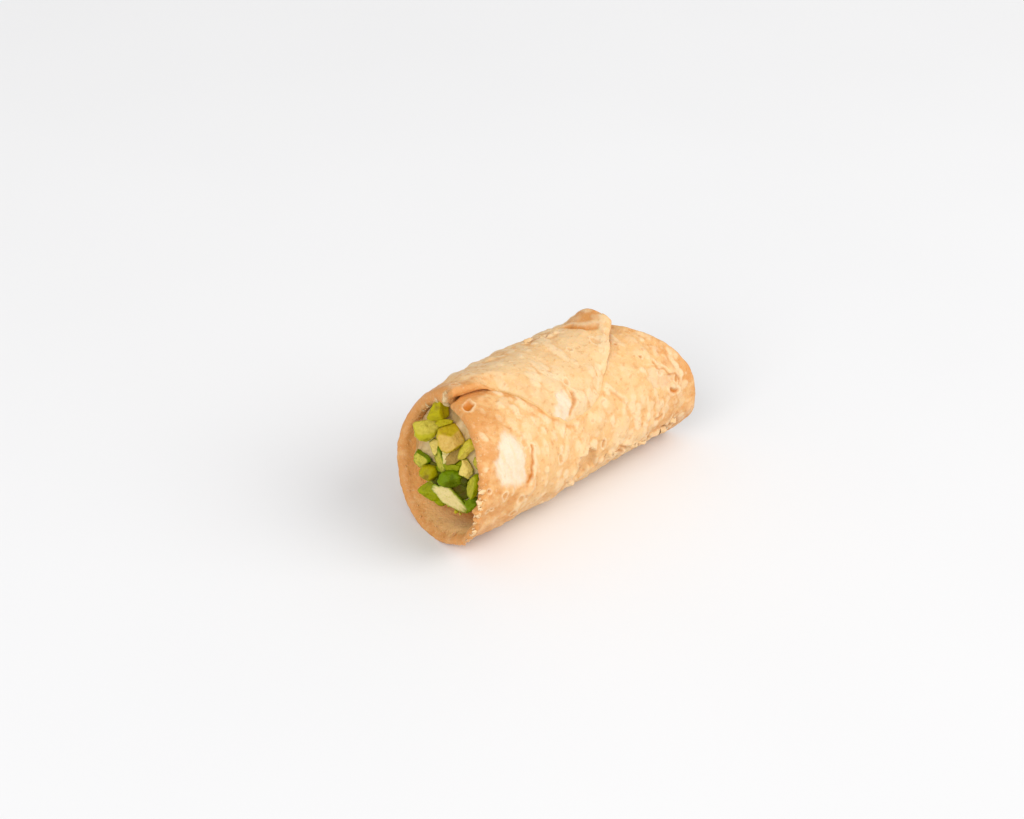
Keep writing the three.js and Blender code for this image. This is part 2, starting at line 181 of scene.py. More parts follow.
for number, lamp in enumerate(LAMPS):
    light = bpy.data.lights.new(f"lamp_{number}", "AREA")
    light.size = lamp["size"] / 1000
    light.energy = lamp["watts"]
    light.color = lamp["colour"]
    holder = bpy.data.objects.new(f"lamp_{number}", light)
    holder.location = Vector(lamp["place"]) / 1000
    holder.rotation_euler = holder.location.to_track_quat("Z", "Y").to_euler()
    bpy.context.scene.collection.objects.link(holder)

# ---- the fried sheet ----
# One sheet of dough, rolled once round a tube form and on over its own start, and fried until it is
# crisp. It bubbles as it fries, and some of its blisters have burst open.

# A place on the sheet has a distance s along the roll, a turn in degrees (0 on top, 90 on the -Y side,
# past 360 on the flap) and a radius.
ORIGIN = np.array([29.694, 0.243, 0])  # the frame's origin, in the roll's own coordinates
RADIUS_NEAR = 20.0  # outside of one layer at s = 0
RADIUS_FAR = 18.6  # outside of one layer at s = TAPER_LENGTH
TAPER_LENGTH = 72
DOUGH = 3.0  # thickness of the sheet
LAYER_GAP = 0.3  # between the sheet's start and the flap over it
FLAP = 2.3  # thickness of the flap
PRESSED = 0.4  # how far the flap presses the layer under it in
FLAT = 0.25  # how far the underside is flattened

# The sheet's outline. Each rim swings along the roll once in every turn, and the near one bulges a
# little at two turns. The flap ends so many degrees past the top: slopes in degrees for each
# millimetre lead up from the near mouth, FLAP_FRONT is level, and a slope leads down to the far corner.
NEAR_RIM = {"middle": -7.8, "swing": -4.5, "longest": 142}
NEAR_LIP = {"turn": 70, "reach": 60, "out": 1.3}
NEAR_CORNER = {"turn": 116, "reach": 32, "out": 1.3}
FAR_RIM = {"middle": 63.5, "swing": 9.3, "longest": 112, "fullness": 0.35}
FAR_SHORTER = {"from": 250, "to": 360, "by": 4}
ROUNDED_OFF = {"from": 342, "to": 366, "by": 1.8}
FLAP_BEHIND_RIM = {"start": 0.6, "slope": 0.54}
FLAP_NEAR = {"start": 7.3, "slope": 4.7}
FLAP_FRONT = 61.5
FLAP_FAR = {"start": 56, "slope": 2.63}
FLAP_ROUNDING = {"rim": 14, "near": 16, "far": 14}
TUCK = {"shallow": -2, "deep": -24, "from": -3, "to": 12}  # where the sheet starts, under the flap

MIX = np.random.default_rng(7).permutation(256)
WAYS = np.array([w for w in itertools.product((-1, 0, 1), repeat=3) if np.abs(w).sum() == 2])


def noise(x, y, z=0.0):
    """Smooth noise, mostly between -0.7 and 0.7, whose bumps are 1 apart."""
    spot = np.broadcast_arrays(x, y, z)
    low = [np.floor(a).astype(int) for a in spot]
    part = [a - b for a, b in zip(spot, low)]
    ease = [p**3 * (p * (p * 6 - 15) + 10) for p in part]
    total = 0
    for corner in itertools.product((0, 1), repeat=3):
        a, b, c = [(whole + step) & 255 for whole, step in zip(low, corner)]
        way = WAYS[MIX[(MIX[(MIX[a] + b) & 255] + c) & 255] % len(WAYS)]
        weight = np.prod([e if step else 1 - e for e, step in zip(ease, corner)], axis=0)
        total = total + weight * sum(way[..., k] * (part[k] - corner[k]) for k in range(3))
    return total


def lerp(a, b, share):
    return a + (b - a) * share


def smooth(x, low, high):
    """0 up to low, 1 from high on, and a smooth change between them. Low may be the larger one."""
    share = np.clip((x - low) / (high - low), 0, 1)
    return share * share * (3 - 2 * share)


def hump(distance, reach):
    """1 in the middle, falling smoothly to 0 at the reach."""
    x = np.clip(np.abs(distance) / reach, 0, 1)
    return (1 - x * x) ** 2


def turn_between(a, b):
    return (a - b + 180) % 360 - 180


def by_turn(turn, part):
    """1 at the part's turn, falling smoothly to 0 at its reach to either side."""
    return hump(turn - part["turn"], part["reach"])


def by_turn_on_all_layers(turn, part):
    """The same, where a turn past 360 counts as the turn that it lies over."""
    return hump(turn_between(turn, part["turn"]), part["reach"])


def base_radius(s):
    return lerp(RADIUS_NEAR, RADIUS_FAR, s / TAPER_LENGTH)


def arc(s, turn):
    """The way round the sheet, in millimetres."""
    return base_radius(s) * np.radians(turn)


def corner_cut(turn):
    return ROUNDED_OFF["by"] * smooth(turn, ROUNDED_OFF["from"], ROUNDED_OFF["to"])


# The rims: smooth and rounded on most of the near mouth, ragged and crumbling where the sheet is thin.
RAGGED = [{"apart": 9.0, "out": 0.14}, {"apart": 3.2, "out": 0.12}, {"apart": 1.3, "out": 0.16}]
CRUMBLY = {"turn": 98, "reach": 55, "times": 6}


def raggedness(turn, seed):
    way = np.radians(turn) * RADIUS_NEAR
    return sum(r["out"] * noise(way / r["apart"], seed) for r in RAGGED)


def near_rim(turn):
    swing = NEAR_RIM["swing"] * np.cos(np.radians(np.minimum(turn, 360) - NEAR_RIM["longest"]))
    out = sum(part["out"] * by_turn(turn, part) for part in (NEAR_LIP, NEAR_CORNER))
    return NEAR_RIM["middle"] + swing - out + corner_cut(turn)


def near_edge(turn):
    """The near rim with its crumbling stretch."""
    crumbly = 1 + CRUMBLY["times"] * by_turn_on_all_layers(turn, CRUMBLY)
    return near_rim(turn) + raggedness(turn, 0.5) * crumbly


def far_rim(turn):
    c = np.cos(np.radians(np.minimum(turn, 360) - FAR_RIM["longest"]))
    swing = FAR_RIM["swing"] * c * (1 + FAR_RIM["fullness"] * (1 - c * c))
    shorter = FAR_SHORTER["by"] * smooth(turn, FAR_SHORTER["from"], FAR_SHORTER["to"])
    return FAR_RIM["middle"] + swing - shorter - corner_cut(turn)


def lower_of(a, b, width):
    """The lower of two values, rounded off over this width where they meet."""
    blend = np.maximum(width - np.abs(a - b), 0) / width
    return np.minimum(a, b) - blend * blend * width / 4


def flap_reach(s):
    """Degrees past the top at which the flap ends."""
    behind_rim = FLAP_BEHIND_RIM["slope"] * (s - FLAP_BEHIND_RIM["start"])
    near = FLAP_NEAR["slope"] * (s - FLAP_NEAR["start"])
    far = FLAP_FAR["slope"] * (FLAP_FAR["start"] - s)
    first = -lower_of(-behind_rim, -near, FLAP_ROUNDING["rim"])
    return lower_of(lower_of(first, FLAP_FRONT, FLAP_ROUNDING["near"]), far, FLAP_ROUNDING["far"])


def tucked_start(s):
    return lerp(TUCK["shallow"], TUCK["deep"], smooth(s, TUCK["from"], TUCK["to"]))


# The relief of the skin is worked out once, on a flat map of the whole sheet.
CELL = 0.2
map_s = np.arange(-17, 78, CELL)
map_side = np.arange(-16, 178, CELL)
S, SIDE = np.meshgrid(map_s, map_side)


def on_map(field, turn, s):
    """A field of the map, read at places on the sheet."""
    x = np.clip((s - map_s[0]) / CELL, 0, len(map_s) - 1.001)
    y = np.clip((arc(s, turn) - map_side[0]) / CELL, 0, len(map_side) - 1.001)
    i, j = x.astype(int), y.astype(int)
    low = lerp(field[j, i], field[j, i + 1], x - i)
    high = lerp(field[j + 1, i], field[j + 1, i + 1], x - i)
    return lerp(low, high, y - j)


def softened(field, size):
    """The field with everything finer than this many millimetres smoothed away."""
    reach = int(3 * size / CELL)
    weights = np.exp(-0.5 * (np.arange(-reach, reach + 1) * CELL / size) ** 2)
    weights /= weights.sum()

    def blur(line):
        return np.convolve(np.pad(line, reach, "edge"), weights, "valid")

    return np.apply_along_axis(blur, 0, np.apply_along_axis(blur, 1, field))


def window(s, side, reach_s, reach_side):
    """The part of the map within this reach of a place."""
    i = [int(np.clip((s + w - map_s[0]) / CELL, 0, len(map_s))) for w in (-reach_s, reach_s)]
    steps = [(side + w - map_side[0]) / CELL for w in (-reach_side, reach_side)]
    return slice(*[int(np.clip(step, 0, len(map_side))) for step in steps]), slice(*i)


def at_least(field, here, values):
    field[here] = np.maximum(field[here], values)


skin = np.zeros(S.shape)  # whole blisters and swells
torn = np.zeros(S.shape)  # what bursts, cracks and pits add
whole = np.ones(S.shape)  # 0 where a burst has taken the blisters away
pale = np.zeros(S.shape)
bare = np.zeros(S.shape)
dark = np.zeros(S.shape)
WARP = {"apart": 2.2, "by": 0.7}  # by which the outlines of blisters and cracks waver
warped_s = S + WARP["by"] * noise(S / WARP["apart"], SIDE / WARP["apart"], 1.5)
warped_side = SIDE + WARP["by"] * noise(S / WARP["apart"], SIDE / WARP["apart"], 6.5)
draw = np.random.default_rng(31)

# Whole blisters: domes of three sizes, longer round the roll than along it. A blister's top is
# thin and full of air, so it is paler than the skin around it.
BLISTERS = [
    {"count": 330, "half": (1.9, 3.3), "long": (1.0, 1.5), "height": 0.5, "pale": 0.3},
    {"count": 2300, "half": (0.8, 1.5), "long": (1.1, 2.1), "height": 0.27, "pale": 1.0},
    {"count": 7000, "half": (0.3, 0.6), "long": (0.9, 1.6), "height": 0.1, "pale": 0.55},
]
# Blisters in their own places, as (s, turn, half along, half round, height).
OWN_PLACES = [
    (11.0, 86, 1.0, 1.6, 0.4), (15.8, 98, 0.9, 1.2, 0.4), (11.0, 98, 1.1, 1.5, 0.4),
    (12.2, 68, 0.9, 2.6, 0.35), (11.5, 111, 1.3, 1.0, 0.4), (-1.1, 90, 0.8, 1.5, 0.3),
    (-8.3, 62.7, 1.1, 0.9, 0.35), (27.8, 410, 3.0, 3.6, 0.8), (23.6, 376, 1.6, 5.2, 0.5),
    (32.9, 366, 1.8, 5.6, 0.55), (36.5, 394, 1.7, 2.8, 0.5), (32.2, 337, 2.0, 1.5, 1.0),
    (35.3, 343, 1.5, 1.5, 0.9), (37.6, 345, 1.3, 1.2, 0.8), (40.4, 344, 1.9, 1.3, 0.9),
    (57.5, 42.7, 0.9, 0.9, 0.4), (51.8, 83, 1.0, 1.2, 0.45), (56.0, 86, 1.2, 2.4, 0.5),
    (22.6, 118, 3.2, 2.8, 1.5), (33.8, 111, 1.5, 1.6, 1.0), (38.0, 114, 2.2, 1.5, 1.0),
    (43.0, 114, 1.7, 1.6, 1.0), (47.6, 117, 2.4, 1.6, 1.1), (52.4, 119, 2.1, 1.5, 1.0),
    (57.6, 118, 2.4, 1.7, 1.1),
]
OWN_RISE = 0.8  # the share of that height to which they rise
OWN_PALE = 0.75
# Beads in a row along the flap's far edge.
RIDGE_BEADS = {
    "count": 26, "s": (28, 56), "inside": (0.2, 3.8), "half": (0.8, 1.7), "longer": 1.3,
    "height": (0.24, 0.48), "pale": 0.8,
}
# Where there are fewer of them: in patches, on top of the flap and by the near mouth.
PATCHES = {"along": 11, "round": 14, "share": 0.35}
ON_FLAP = {"turn": 350, "share": (0.3, 0.9), "s": (44, 56)}
BY_MOUTH = {"turn": 110, "share": (0.3, 1.0), "s": (-4, 16)}
# Low waves over the whole sheet.
SWELLS = [
    {"along": 11.0, "round": 13.0, "height": 0.75, "seed": 3.7},
    {"along": 4.6, "round": 7.5, "height": 0.5, "seed": 8.2},
    {"along": 1.9, "round": 2.6, "height": 0.12, "seed": 5.4},
]


def crowding(s, side):
    """The share of the blisters that rise here: few near the mouth and on top of the flap."""
    turn = np.degrees(side / base_radius(s))
    patches = noise(s / PATCHES["along"], side / PATCHES["round"], 4.5)
    share = lerp(PATCHES["share"], 1.0, smooth(patches, -0.3, 0.3))
    if turn > ON_FLAP["turn"]:
        share *= lerp(*ON_FLAP["share"], smooth(s, *ON_FLAP["s"]))
    if turn < BY_MOUTH["turn"]:
        share *= lerp(*BY_MOUTH["share"], smooth(s, *BY_MOUTH["s"]))
    return share


def raise_blister(s, side, half_s, half_side, height, paleness):
    here = window(s, side, 1.6 * half_s + 1, 1.6 * half_side + 1)
    d = np.hypot((warped_s[here] - s) / half_s, (warped_side[here] - side) / half_side)
    at_least(skin, here, height * np.clip(1 - d * d, 0, 1) ** 1.3)
    at_least(pale, here, paleness * smooth(1 - d, -0.02, 0.42))


for size in BLISTERS:
    for _ in range(size["count"]):
        s = draw.uniform(map_s[0], map_s[-1])
        side = draw.uniform(map_side[0], map_side[-1])
        half_s = draw.uniform(*size["half"])
        half_side = half_s * draw.uniform(*size["long"])
        strength = draw.uniform(0.25, 1.0)
        if draw.random() < crowding(s, side):
            height = size["height"] * (0.4 + 0.8 * strength)
            raise_blister(s, side, half_s, half_side, height, size["pale"] * strength)
for s, turn, half_s, half_side, height in OWN_PLACES:
    raise_blister(s, arc(s, turn), half_s, half_side, OWN_RISE * height, OWN_PALE)
for _ in range(RIDGE_BEADS["count"]):
    s = draw.uniform(*RIDGE_BEADS["s"])
    side = arc(s, 360 + flap_reach(s)) - draw.uniform(*RIDGE_BEADS["inside"])
    half = draw.uniform(*RIDGE_BEADS["half"])
    height = draw.uniform(*RIDGE_BEADS["height"])
    raise_blister(s, side, half, RIDGE_BEADS["longer"] * half, height, RIDGE_BEADS["pale"])

# Burst blisters: the outline of each floor as (s, turn), how deep it lies, how high the torn rim
# stands, which side is undercut (in degrees from the way along the roll towards the way round), how
# far the ledge beyond that side reaches, and how pale and how brown the floor is.
BURSTS = [
    {"outline": [
        (0.3, 42), (3.4, 43.5), (4.9, 53.5), (4.9, 64), (3.9, 75), (4.6, 86), (3.2, 90), (-1.1, 87),
        (-4.6, 82), (-6.0, 70.4), (-5.4, 61), (-3.2, 54), (-0.9, 46.6),
    ], "deep": 0.36, "rim": 0.2, "undercut": 12, "ledge": 0.3, "pale": 1.0, "brown": 0.0},
    {"outline": [
        (22.2, 395), (24.8, 396), (25.2, 403), (23.4, 411), (21.0, 418), (18.9, 417), (19.0, 407),
        (20.1, 401),
    ], "deep": 0.4, "rim": 0.28, "undercut": 10, "ledge": 0.12, "pale": 1.0, "brown": 0.0},
    {"outline": [
        (55.9, 50.4), (58, 52), (61, 62.6), (63.3, 67), (61.5, 76.6), (57.2, 71), (54, 59.4),
    ], "deep": 0.35, "rim": 0.15, "undercut": 300, "ledge": 0.1, "pale": 0.36, "brown": 0.0},
    {"outline": [
        (22.7, 100.6), (23.9, 93.1), (25.7, 91.2), (29.7, 91.3), (31.5, 101), (31.4, 110.9),
        (28.9, 112.2), (27.5, 116.5), (21.2, 109.9),
    ], "deep": 0.9, "rim": 0.9, "undercut": 235, "ledge": 0.06, "pale": 0.0, "brown": 0.2},
]
TORN_EDGE = [(1.7, 0.9), (0.7, 0.6)]  # how far apart its teeth are, and how far they reach
# A burst from its middle (0) to its outline (1) and beyond: where the rim stands, how wide the step up
# to it is on the undercut side and how much wider elsewhere, the share of the rim's height elsewhere,
# where the bare floor fades, and how far from the rim its crest, the painted shadow at its foot and the
# painted highlight on its top have their middles, with their reaches, and how dark and how pale these two
# are.
BURST = {
    "rim": 1.04, "step": 0.18, "wider": 0.14, "elsewhere": 0.35, "bare": (0.72, 1.08),
    "crest": (0.07, 0.15), "foot": (-0.05, 0.06), "top": (0.09, 0.12), "foot_shadow": 0.25, "top_highlight": 0.8,
}
for burst in BURSTS:
    points = np.array([(s, arc(s, turn)) for s, turn in burst["outline"]])
    middle = points.mean(0)
    ways = np.arctan2(points[:, 1] - middle[1], points[:, 0] - middle[0])
    reach = np.hypot(*(points - middle).T)
    order = np.argsort(ways)
    here = window(*middle, 2 * reach.max() + 2, 2 * reach.max() + 2)
    along, across = S[here] - middle[0], SIDE[here] - middle[1]
    way = np.arctan2(across, along)
    edge = np.interp(way, ways[order], reach[order], period=2 * np.pi)
    rough = sum(
        out * noise(S[here] / apart, SIDE[here] / (1.6 * apart), 9.1 * apart) for apart, out in TORN_EDGE
    )
    d = (np.hypot(along, across) + rough) / edge
    facing = smooth(np.cos(way - math.radians(burst["undercut"])), 0.1, 0.9)  # 1 on the undercut side
    rim_at = BURST["rim"] + burst["ledge"] * facing
    step = BURST["step"] + BURST["wider"] * (1 - facing)
    floor = 1 - smooth(d, rim_at - step, rim_at)
    crest, foot, top = [
        hump(d - rim_at - BURST[part][0], BURST[part][1]) for part in ("crest", "foot", "top")
    ]
    torn[here] -= burst["deep"] * floor
    torn[here] += burst["rim"] * lerp(BURST["elsewhere"], 1, facing) * crest
    at_least(bare, here, burst["pale"] * (1 - smooth(d, *BURST["bare"])))
    at_least(dark, here, burst["brown"] * floor)
    # On the undercut side, a painted shadow at the foot of the rim and a painted highlight on its top.
    at_least(dark, here, BURST["foot_shadow"] * facing * foot)
    pale[here] = np.maximum(pale[here] * (1 - floor), BURST["top_highlight"] * facing * top)
    whole[here] *= 1 - floor

# Cracks: a line of (s, turn), half as wide as the crack, with a raised lip on its far side.
CRACKS = [  # (half as wide, how dark, height of the lip, line)
    (0.34, 0.95, 0.35, [(7.6, 62), (7.0, 68), (6.5, 75.7), (5.4, 84), (4.2, 88.5)]),
    (0.42, 0.7, 0.35, [(26.4, 401), (25.8, 405), (24.9, 410), (23.4, 414)]),
    (0.35, 0.5, 0.2, [(19.5, 419), (21.5, 421), (23.5, 420)]),
    (0.4, 0.8, 0.3, [(15.8, 411), (17.2, 415), (18.6, 417.5)]),
    (0.3, 0.7, 0.22, [
        (58.2, 48), (58.6, 50.8), (59.4, 54), (61.1, 58.4), (61.6, 62.4), (63.5, 64.9), (64.3, 65.7),
        (65.7, 72),
    ]),
    (0.6, 1.0, 0.3, [(62.0, 77.5), (62.8, 79.5), (63.9, 81)]),
    # This crease at the foot of the flap's lip is painted dark as the lip's shadow.
    (0.7, 0.6, 0.2, [(43.5, 338), (45.0, 343), (45.9, 351), (46.8, 358), (48.6, 363)]),
    (0.4, 0.3, 0.2, [(39.8, 52), (41.4, 60), (43.3, 66)]),
    (0.5, 0.7, 0.6, [(36.0, 109), (39.0, 112), (42.4, 113.6)]),
    (0.45, 0.6, 0.6, [(42.0, 108), (44.5, 112), (47.5, 115)]),
    (0.5, 0.6, 0.5, [(49.0, 119), (52.0, 122), (54.6, 120)]),
    (0.45, 0.7, 0.3, [(54.6, 96), (55.6, 97.6), (57.4, 97)]),
    (0.6, 0.55, 0.6, [(59.5, 113), (61.1, 117), (63.4, 118)]),
    (0.8, 1.0, 0.0, [(23.8, 103), (24.8, 107), (26.4, 111)]),
]
for half, how_dark, raised, line in CRACKS:
    places = np.array([(s, arc(s, turn)) for s, turn in line])
    here = window(*places.mean(0), *(np.ptp(places, 0) + 4))
    nearest = np.full(S[here].shape, np.inf)
    beyond = np.zeros(S[here].shape)
    for start, end in itertools.pairwise(places):
        run = end - start
        from_start = warped_s[here] - start[0], warped_side[here] - start[1]
        share = np.clip((from_start[0] * run[0] + from_start[1] * run[1]) / (run @ run), 0, 1)
        off_s, off_side = from_start[0] - share * run[0], from_start[1] - share * run[1]
        distance = np.hypot(off_s, off_side)
        beyond = np.where(distance < nearest, off_s, beyond)
        nearest = np.minimum(distance, nearest)
    lip = hump(nearest - 2.2 * half, 1.1) * smooth(beyond, -0.1, 0.5)
    torn[here] += raised * lip - 0.7 * half * hump(nearest, 1.8 * half)
    at_least(dark, here, how_dark * hump(nearest, 1.5 * half))
    at_least(pale, here, lip * smooth(raised, 0, 0.3))

# Blisters whose tops have sunk, a pale ring round a darker middle, as (s, turn, half along, half
# round, how dark the middle is, lean in degrees), and pits as fine as pinholes.
SUNKEN = [
    (-1.3, 9.7, 3.1, 1.65, 1.0, -45), (0.8, 116, 2.0, 1.3, 0.15, 20), (2.0, 101.5, 1.5, 1.9, 0.2, 0),
    (16.7, 83.4, 1.2, 1.9, 0.2, 0), (34.1, 94, 1.2, 1.7, 0.4, 0), (-9.0, 80, 0.8, 0.8, 0.6, 0),
    (-10.0, 96.7, 0.8, 0.8, 0.5, 0), (-8.2, 97, 0.7, 0.9, 0.45, 0), (51.1, 20, 0.8, 0.6, 0.7, 0),
    (55.6, 40, 0.6, 0.6, 0.6, 0),
]
SUNKEN_ELSEWHERE = {
    "count": 26, "s": (-6, 66), "side": (14, 140), "half": (0.8, 1.5), "long": (0.9, 1.7),
    "dark": (0.0, 0.3),
}
PITS = {"count": 420, "half": (0.18, 0.4), "deep": 0.25, "dark": (0.15, 0.7)}
for k in range(len(SUNKEN) + SUNKEN_ELSEWHERE["count"]):
    if k < len(SUNKEN):
        s, turn, half_s, half_side, depth, lean = SUNKEN[k]
        side = arc(s, turn)
    else:
        s, side = draw.uniform(*SUNKEN_ELSEWHERE["s"]), draw.uniform(*SUNKEN_ELSEWHERE["side"])
        half_s = draw.uniform(*SUNKEN_ELSEWHERE["half"])
        half_side = half_s * draw.uniform(*SUNKEN_ELSEWHERE["long"])
        depth = draw.uniform(*SUNKEN_ELSEWHERE["dark"])
        lean = 0
    here = window(s, side, 2 * max(half_s, half_side) + 1, 2 * max(half_s, half_side) + 1)
    off_s, off_side = warped_s[here] - s, warped_side[here] - side
    c, w = math.cos(math.radians(lean)), math.sin(math.radians(lean))
    d = np.hypot((off_s * c + off_side * w) / half_s, (off_side * c - off_s * w) / half_side)
    ring = hump(d - 0.84, 0.08 + 0.36 / half_s)
    torn[here] += 0.14 * ring - (0.1 + 0.6 * depth) * smooth(0.8 - d, 0, 0.35)
    pale[here] = np.maximum(pale[here] * (1 - hump(d, 0.8)), 0.9 * ring)
    at_least(dark, here, depth * smooth(0.68 - d, 0, 0.14))
    whole[here] *= 1 - hump(d, 1.1)
for _ in range(PITS["count"]):
    s, side = draw.uniform(map_s[0], map_s[-1]), draw.uniform(map_side[0], map_side[-1])
    half = draw.uniform(*PITS["half"])
    here = window(s, side, 2, 2)
    d = np.hypot(warped_s[here] - s, warped_side[here] - side) / half
    torn[here] -= PITS["deep"] * hump(d, 1.2)
    at_least(dark, here, draw.uniform(*PITS["dark"]) * hump(d, 1.0))

# The valleys between the blisters are browner, which is painted shade, the crests a little paler, and the
# whole relief is kept level, so that it doesn't change the roll's own shape.
skin *= whole
valley_shade = smooth(softened(skin, 1.5) - skin, 0.02, 0.2) * whole
for swell in SWELLS:
    skin += swell["height"] * noise(S / swell["along"], SIDE / swell["round"], swell["seed"])
skin -= softened(skin, 14)
crests = smooth(skin - softened(skin, 3), 0.05, 0.45)
pale = np.maximum(pale, 0.4 * crests)
relief_map = skin + torn

# The roll's own shape: the lip and the ridge of the flap, the unround mouths, the climb of the outer
# layer over the sheet's start, and a wall that is thinner in front and thicker behind at the near
# mouth.
CURL = {"from": 46.5, "to": 53, "turn": 353, "reach": 32, "height": 3.5}
CURL_FALL = {"from": 53, "to": 59, "by": 0.5}
FLAP_RIDGE = {"from": 26, "to": 40, "reach": 14, "height": 0.6}
NEAR_PARTS = [
    {"turn": 235, "reach": 78, "out": 2.5},
    {"turn": 315, "reach": 55, "out": -0.8},
    {"turn": 80, "reach": 75, "out": -1.4},
    {"turn": 155, "reach": 40, "out": -0.5},
]
FAR_UNDER = {"turn": 150, "reach": 70, "out": 1.1}
NEAR_FLARE = {"from": 6, "to": -12, "sharpness": 1.3}
FAR_FLARE = {"from": 60, "to": 74}
CLIMB_AT_MOUTH = {"s": 0, "from": 300, "to": 357}
CLIMB_BEHIND = {"s": 16, "from": 215, "to": 312}
COVERED = {"before": 3, "past": 12, "past_seated": 3, "seated": (3, 9)}
SMOOTH_UNDERSIDE = {"turn": 180, "reach": 34}
PINCH = {"before": 8, "after": 2}
MOUTH = {"from": 2, "to": -12}
THIN_WALL = {"turn": 78, "reach": 80, "by": 1.1}
THICK_WALL = {"turn": 255, "reach": 120, "by": 0.7}
INNER_SWELL = {"apart": 5.5, "height": 0.8}


def curl(turn, s):
    """The flap's far corner stands up as a lip, and its far edge as a low ridge."""
    fall = 1 - CURL_FALL["by"] * smooth(s, CURL_FALL["from"], CURL_FALL["to"])
    height = CURL["height"] * smooth(s, CURL["from"], CURL["to"]) * fall
    lip = height * by_turn(turn, CURL)
    edge = hump(flap_reach(s) - (turn - 360), FLAP_RIDGE["reach"]) * (turn > 360)
    return lip + FLAP_RIDGE["height"] * edge * smooth(s, FLAP_RIDGE["from"], FLAP_RIDGE["to"])


def flare(turn, s):
    near = smooth(s, NEAR_FLARE["from"], NEAR_FLARE["to"]) ** NEAR_FLARE["sharpness"]
    far = smooth(s, FAR_FLARE["from"], FAR_FLARE["to"])
    out = far * FAR_UNDER["out"] * by_turn(turn, FAR_UNDER)
    return out + sum(near * part["out"] * by_turn(turn, part) for part in NEAR_PARTS)


def climb(turn, s):
    along = smooth(s, CLIMB_AT_MOUTH["s"], CLIMB_BEHIND["s"])
    start = lerp(CLIMB_AT_MOUTH["from"], CLIMB_BEHIND["from"], along)
    end = lerp(CLIMB_AT_MOUTH["to"], CLIMB_BEHIND["to"], along)
    return (FLAP + LAYER_GAP - PRESSED) * smooth(turn, start, end)


def pressed_under_flap(turn, s):
    past = lerp(COVERED["past"], COVERED["past_seated"], smooth(s, *COVERED["seated"]))
    risen = smooth(turn, flap_reach(s) - COVERED["before"], flap_reach(s) + past)
    return (1 - risen) * (turn < 180)


def outer_radius(turn, s):
    covered = pressed_under_flap(turn, s)
    shows = (1 - covered) * (1 - by_turn_on_all_layers(turn, SMOOTH_UNDERSIDE))
    relief = shows * on_map(relief_map, turn, s)
    return base_radius(s) + climb(turn, s) - PRESSED * covered + relief + curl(turn, s) + flare(turn, s)


def inner_radius(turn, s):
    start = 360 + tucked_start(s)
    lifted = smooth(turn, start - PINCH["before"], start - PINCH["after"])
    depth = lerp(DOUGH, PRESSED - LAYER_GAP, lifted)
    uneven = smooth(s, MOUTH["from"], MOUTH["to"]) * (1 - lifted)
    thinner = THIN_WALL["by"] * by_turn_on_all_layers(turn, THIN_WALL)
    thicker = THICK_WALL["by"] * by_turn_on_all_layers(turn, THICK_WALL)
    apart = INNER_SWELL["apart"]
    swell = INNER_SWELL["height"] * noise(s / apart, arc(s, turn) / apart, 2.5)
    return base_radius(s) - depth + uneven * (thinner - thicker + swell) + curl(turn, s) + flare(turn, s)


def place(turn, s, r):
    """A place on the roll as x, y and z, in the frame."""
    z = np.maximum(base_radius(s) - FLAT + r * np.cos(np.radians(turn)), 0)
    return np.stack([s, -r * np.sin(np.radians(turn)), z], -1) - ORIGIN


def make_piece(name, points, faces, material, values=None):
    """A mesh piece that rides on the food, with named values at its points for its material."""
    mesh = bpy.data.meshes.new(name)
    mesh.from_pydata((np.asarray(points) / 1000).tolist(), [], faces)
    mesh.shade_smooth()
    for key, numbers in (values or {}).items():
        column = mesh.attributes.new(key, "FLOAT", "POINT")
        column.data.foreach_set("value", np.asarray(numbers, np.float32))
    mesh.materials.append(material)
    piece = bpy.data.objects.new(name, mesh)
    bpy.context.scene.collection.objects.link(piece)
    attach(piece, "root")
    return piece


# The sheet as one closed body: rows along the roll and columns round it, closer together near the
# outline, where each face bends over to meet the other. The flap's edge has stuck to the layer under
# it, so there the sheet closes close to its underside. The inner edge of the near rim is bevelled,
# most at the bottom of the mouth.
ROWS = 250
COLUMNS = 440
EDGE_HALF = 1.5  # about half of the sheet's thickness, the radius at its edges
EDGE_LINES = 6  # rows or columns of points within that distance of an edge
FLAP_RAGGED = {"apart": 2.6, "degrees": 2.4}
FLAP_SEAT = {"above": 0.3, "round": 1.9, "reach": 7, "clear": (6, 13)}
SOFT_EDGE = {"above": -0.7, "round": 8.5, "from": (3, 8), "to": (56, 62)}
BEVEL = {"turn": 185, "reach": 105, "to": (2, 14), "lower": 0.72, "round": 6.5}
LONGEST = 76  # about the length of the longest row


def spread(length, lines):
    """Distances from one end to the other, closer together near both ends."""
    bend = EDGE_HALF * (1 - np.cos(np.linspace(0, np.pi / 2, EDGE_LINES + 1)))[:-1, None]
    inner = np.linspace(0, 1, lines)[:, None] * (length - 2 * EDGE_HALF) + EDGE_HALF
    start = np.repeat(bend, len(length), 1)
    return np.concatenate([start, inner, length - start[::-1]])


row_share = spread(np.array([float(LONGEST)]), ROWS) / LONGEST
straight = lerp(near_rim(360.0), far_rim(360.0), row_share[:, 0])
from_turn = tucked_start(straight)
flap_end = flap_reach(straight) + FLAP_RAGGED["degrees"] * noise(straight / FLAP_RAGGED["apart"], 3.3, 1.1)
round_length = base_radius(straight) * np.radians(360 + flap_end - from_turn)
slant = np.gradient(base_radius(straight) * np.radians(flap_reach(straight)), straight)
from_start = spread(round_length, COLUMNS).T
turns = from_turn[:, None] + np.degrees(from_start / base_radius(straight)[:, None])
starts = near_edge(turns)
lengths = far_rim(turns) + raggedness(turns, 7.5) - starts
from_near = row_share * lengths
from_far = lengths - from_near
along = starts + from_near
from_flap = (round_length[:, None] - from_start) / np.sqrt(1 + slant[:, None] ** 2)
from_edge = np.minimum(np.minimum(from_near, from_far), np.minimum(from_flap, from_start))

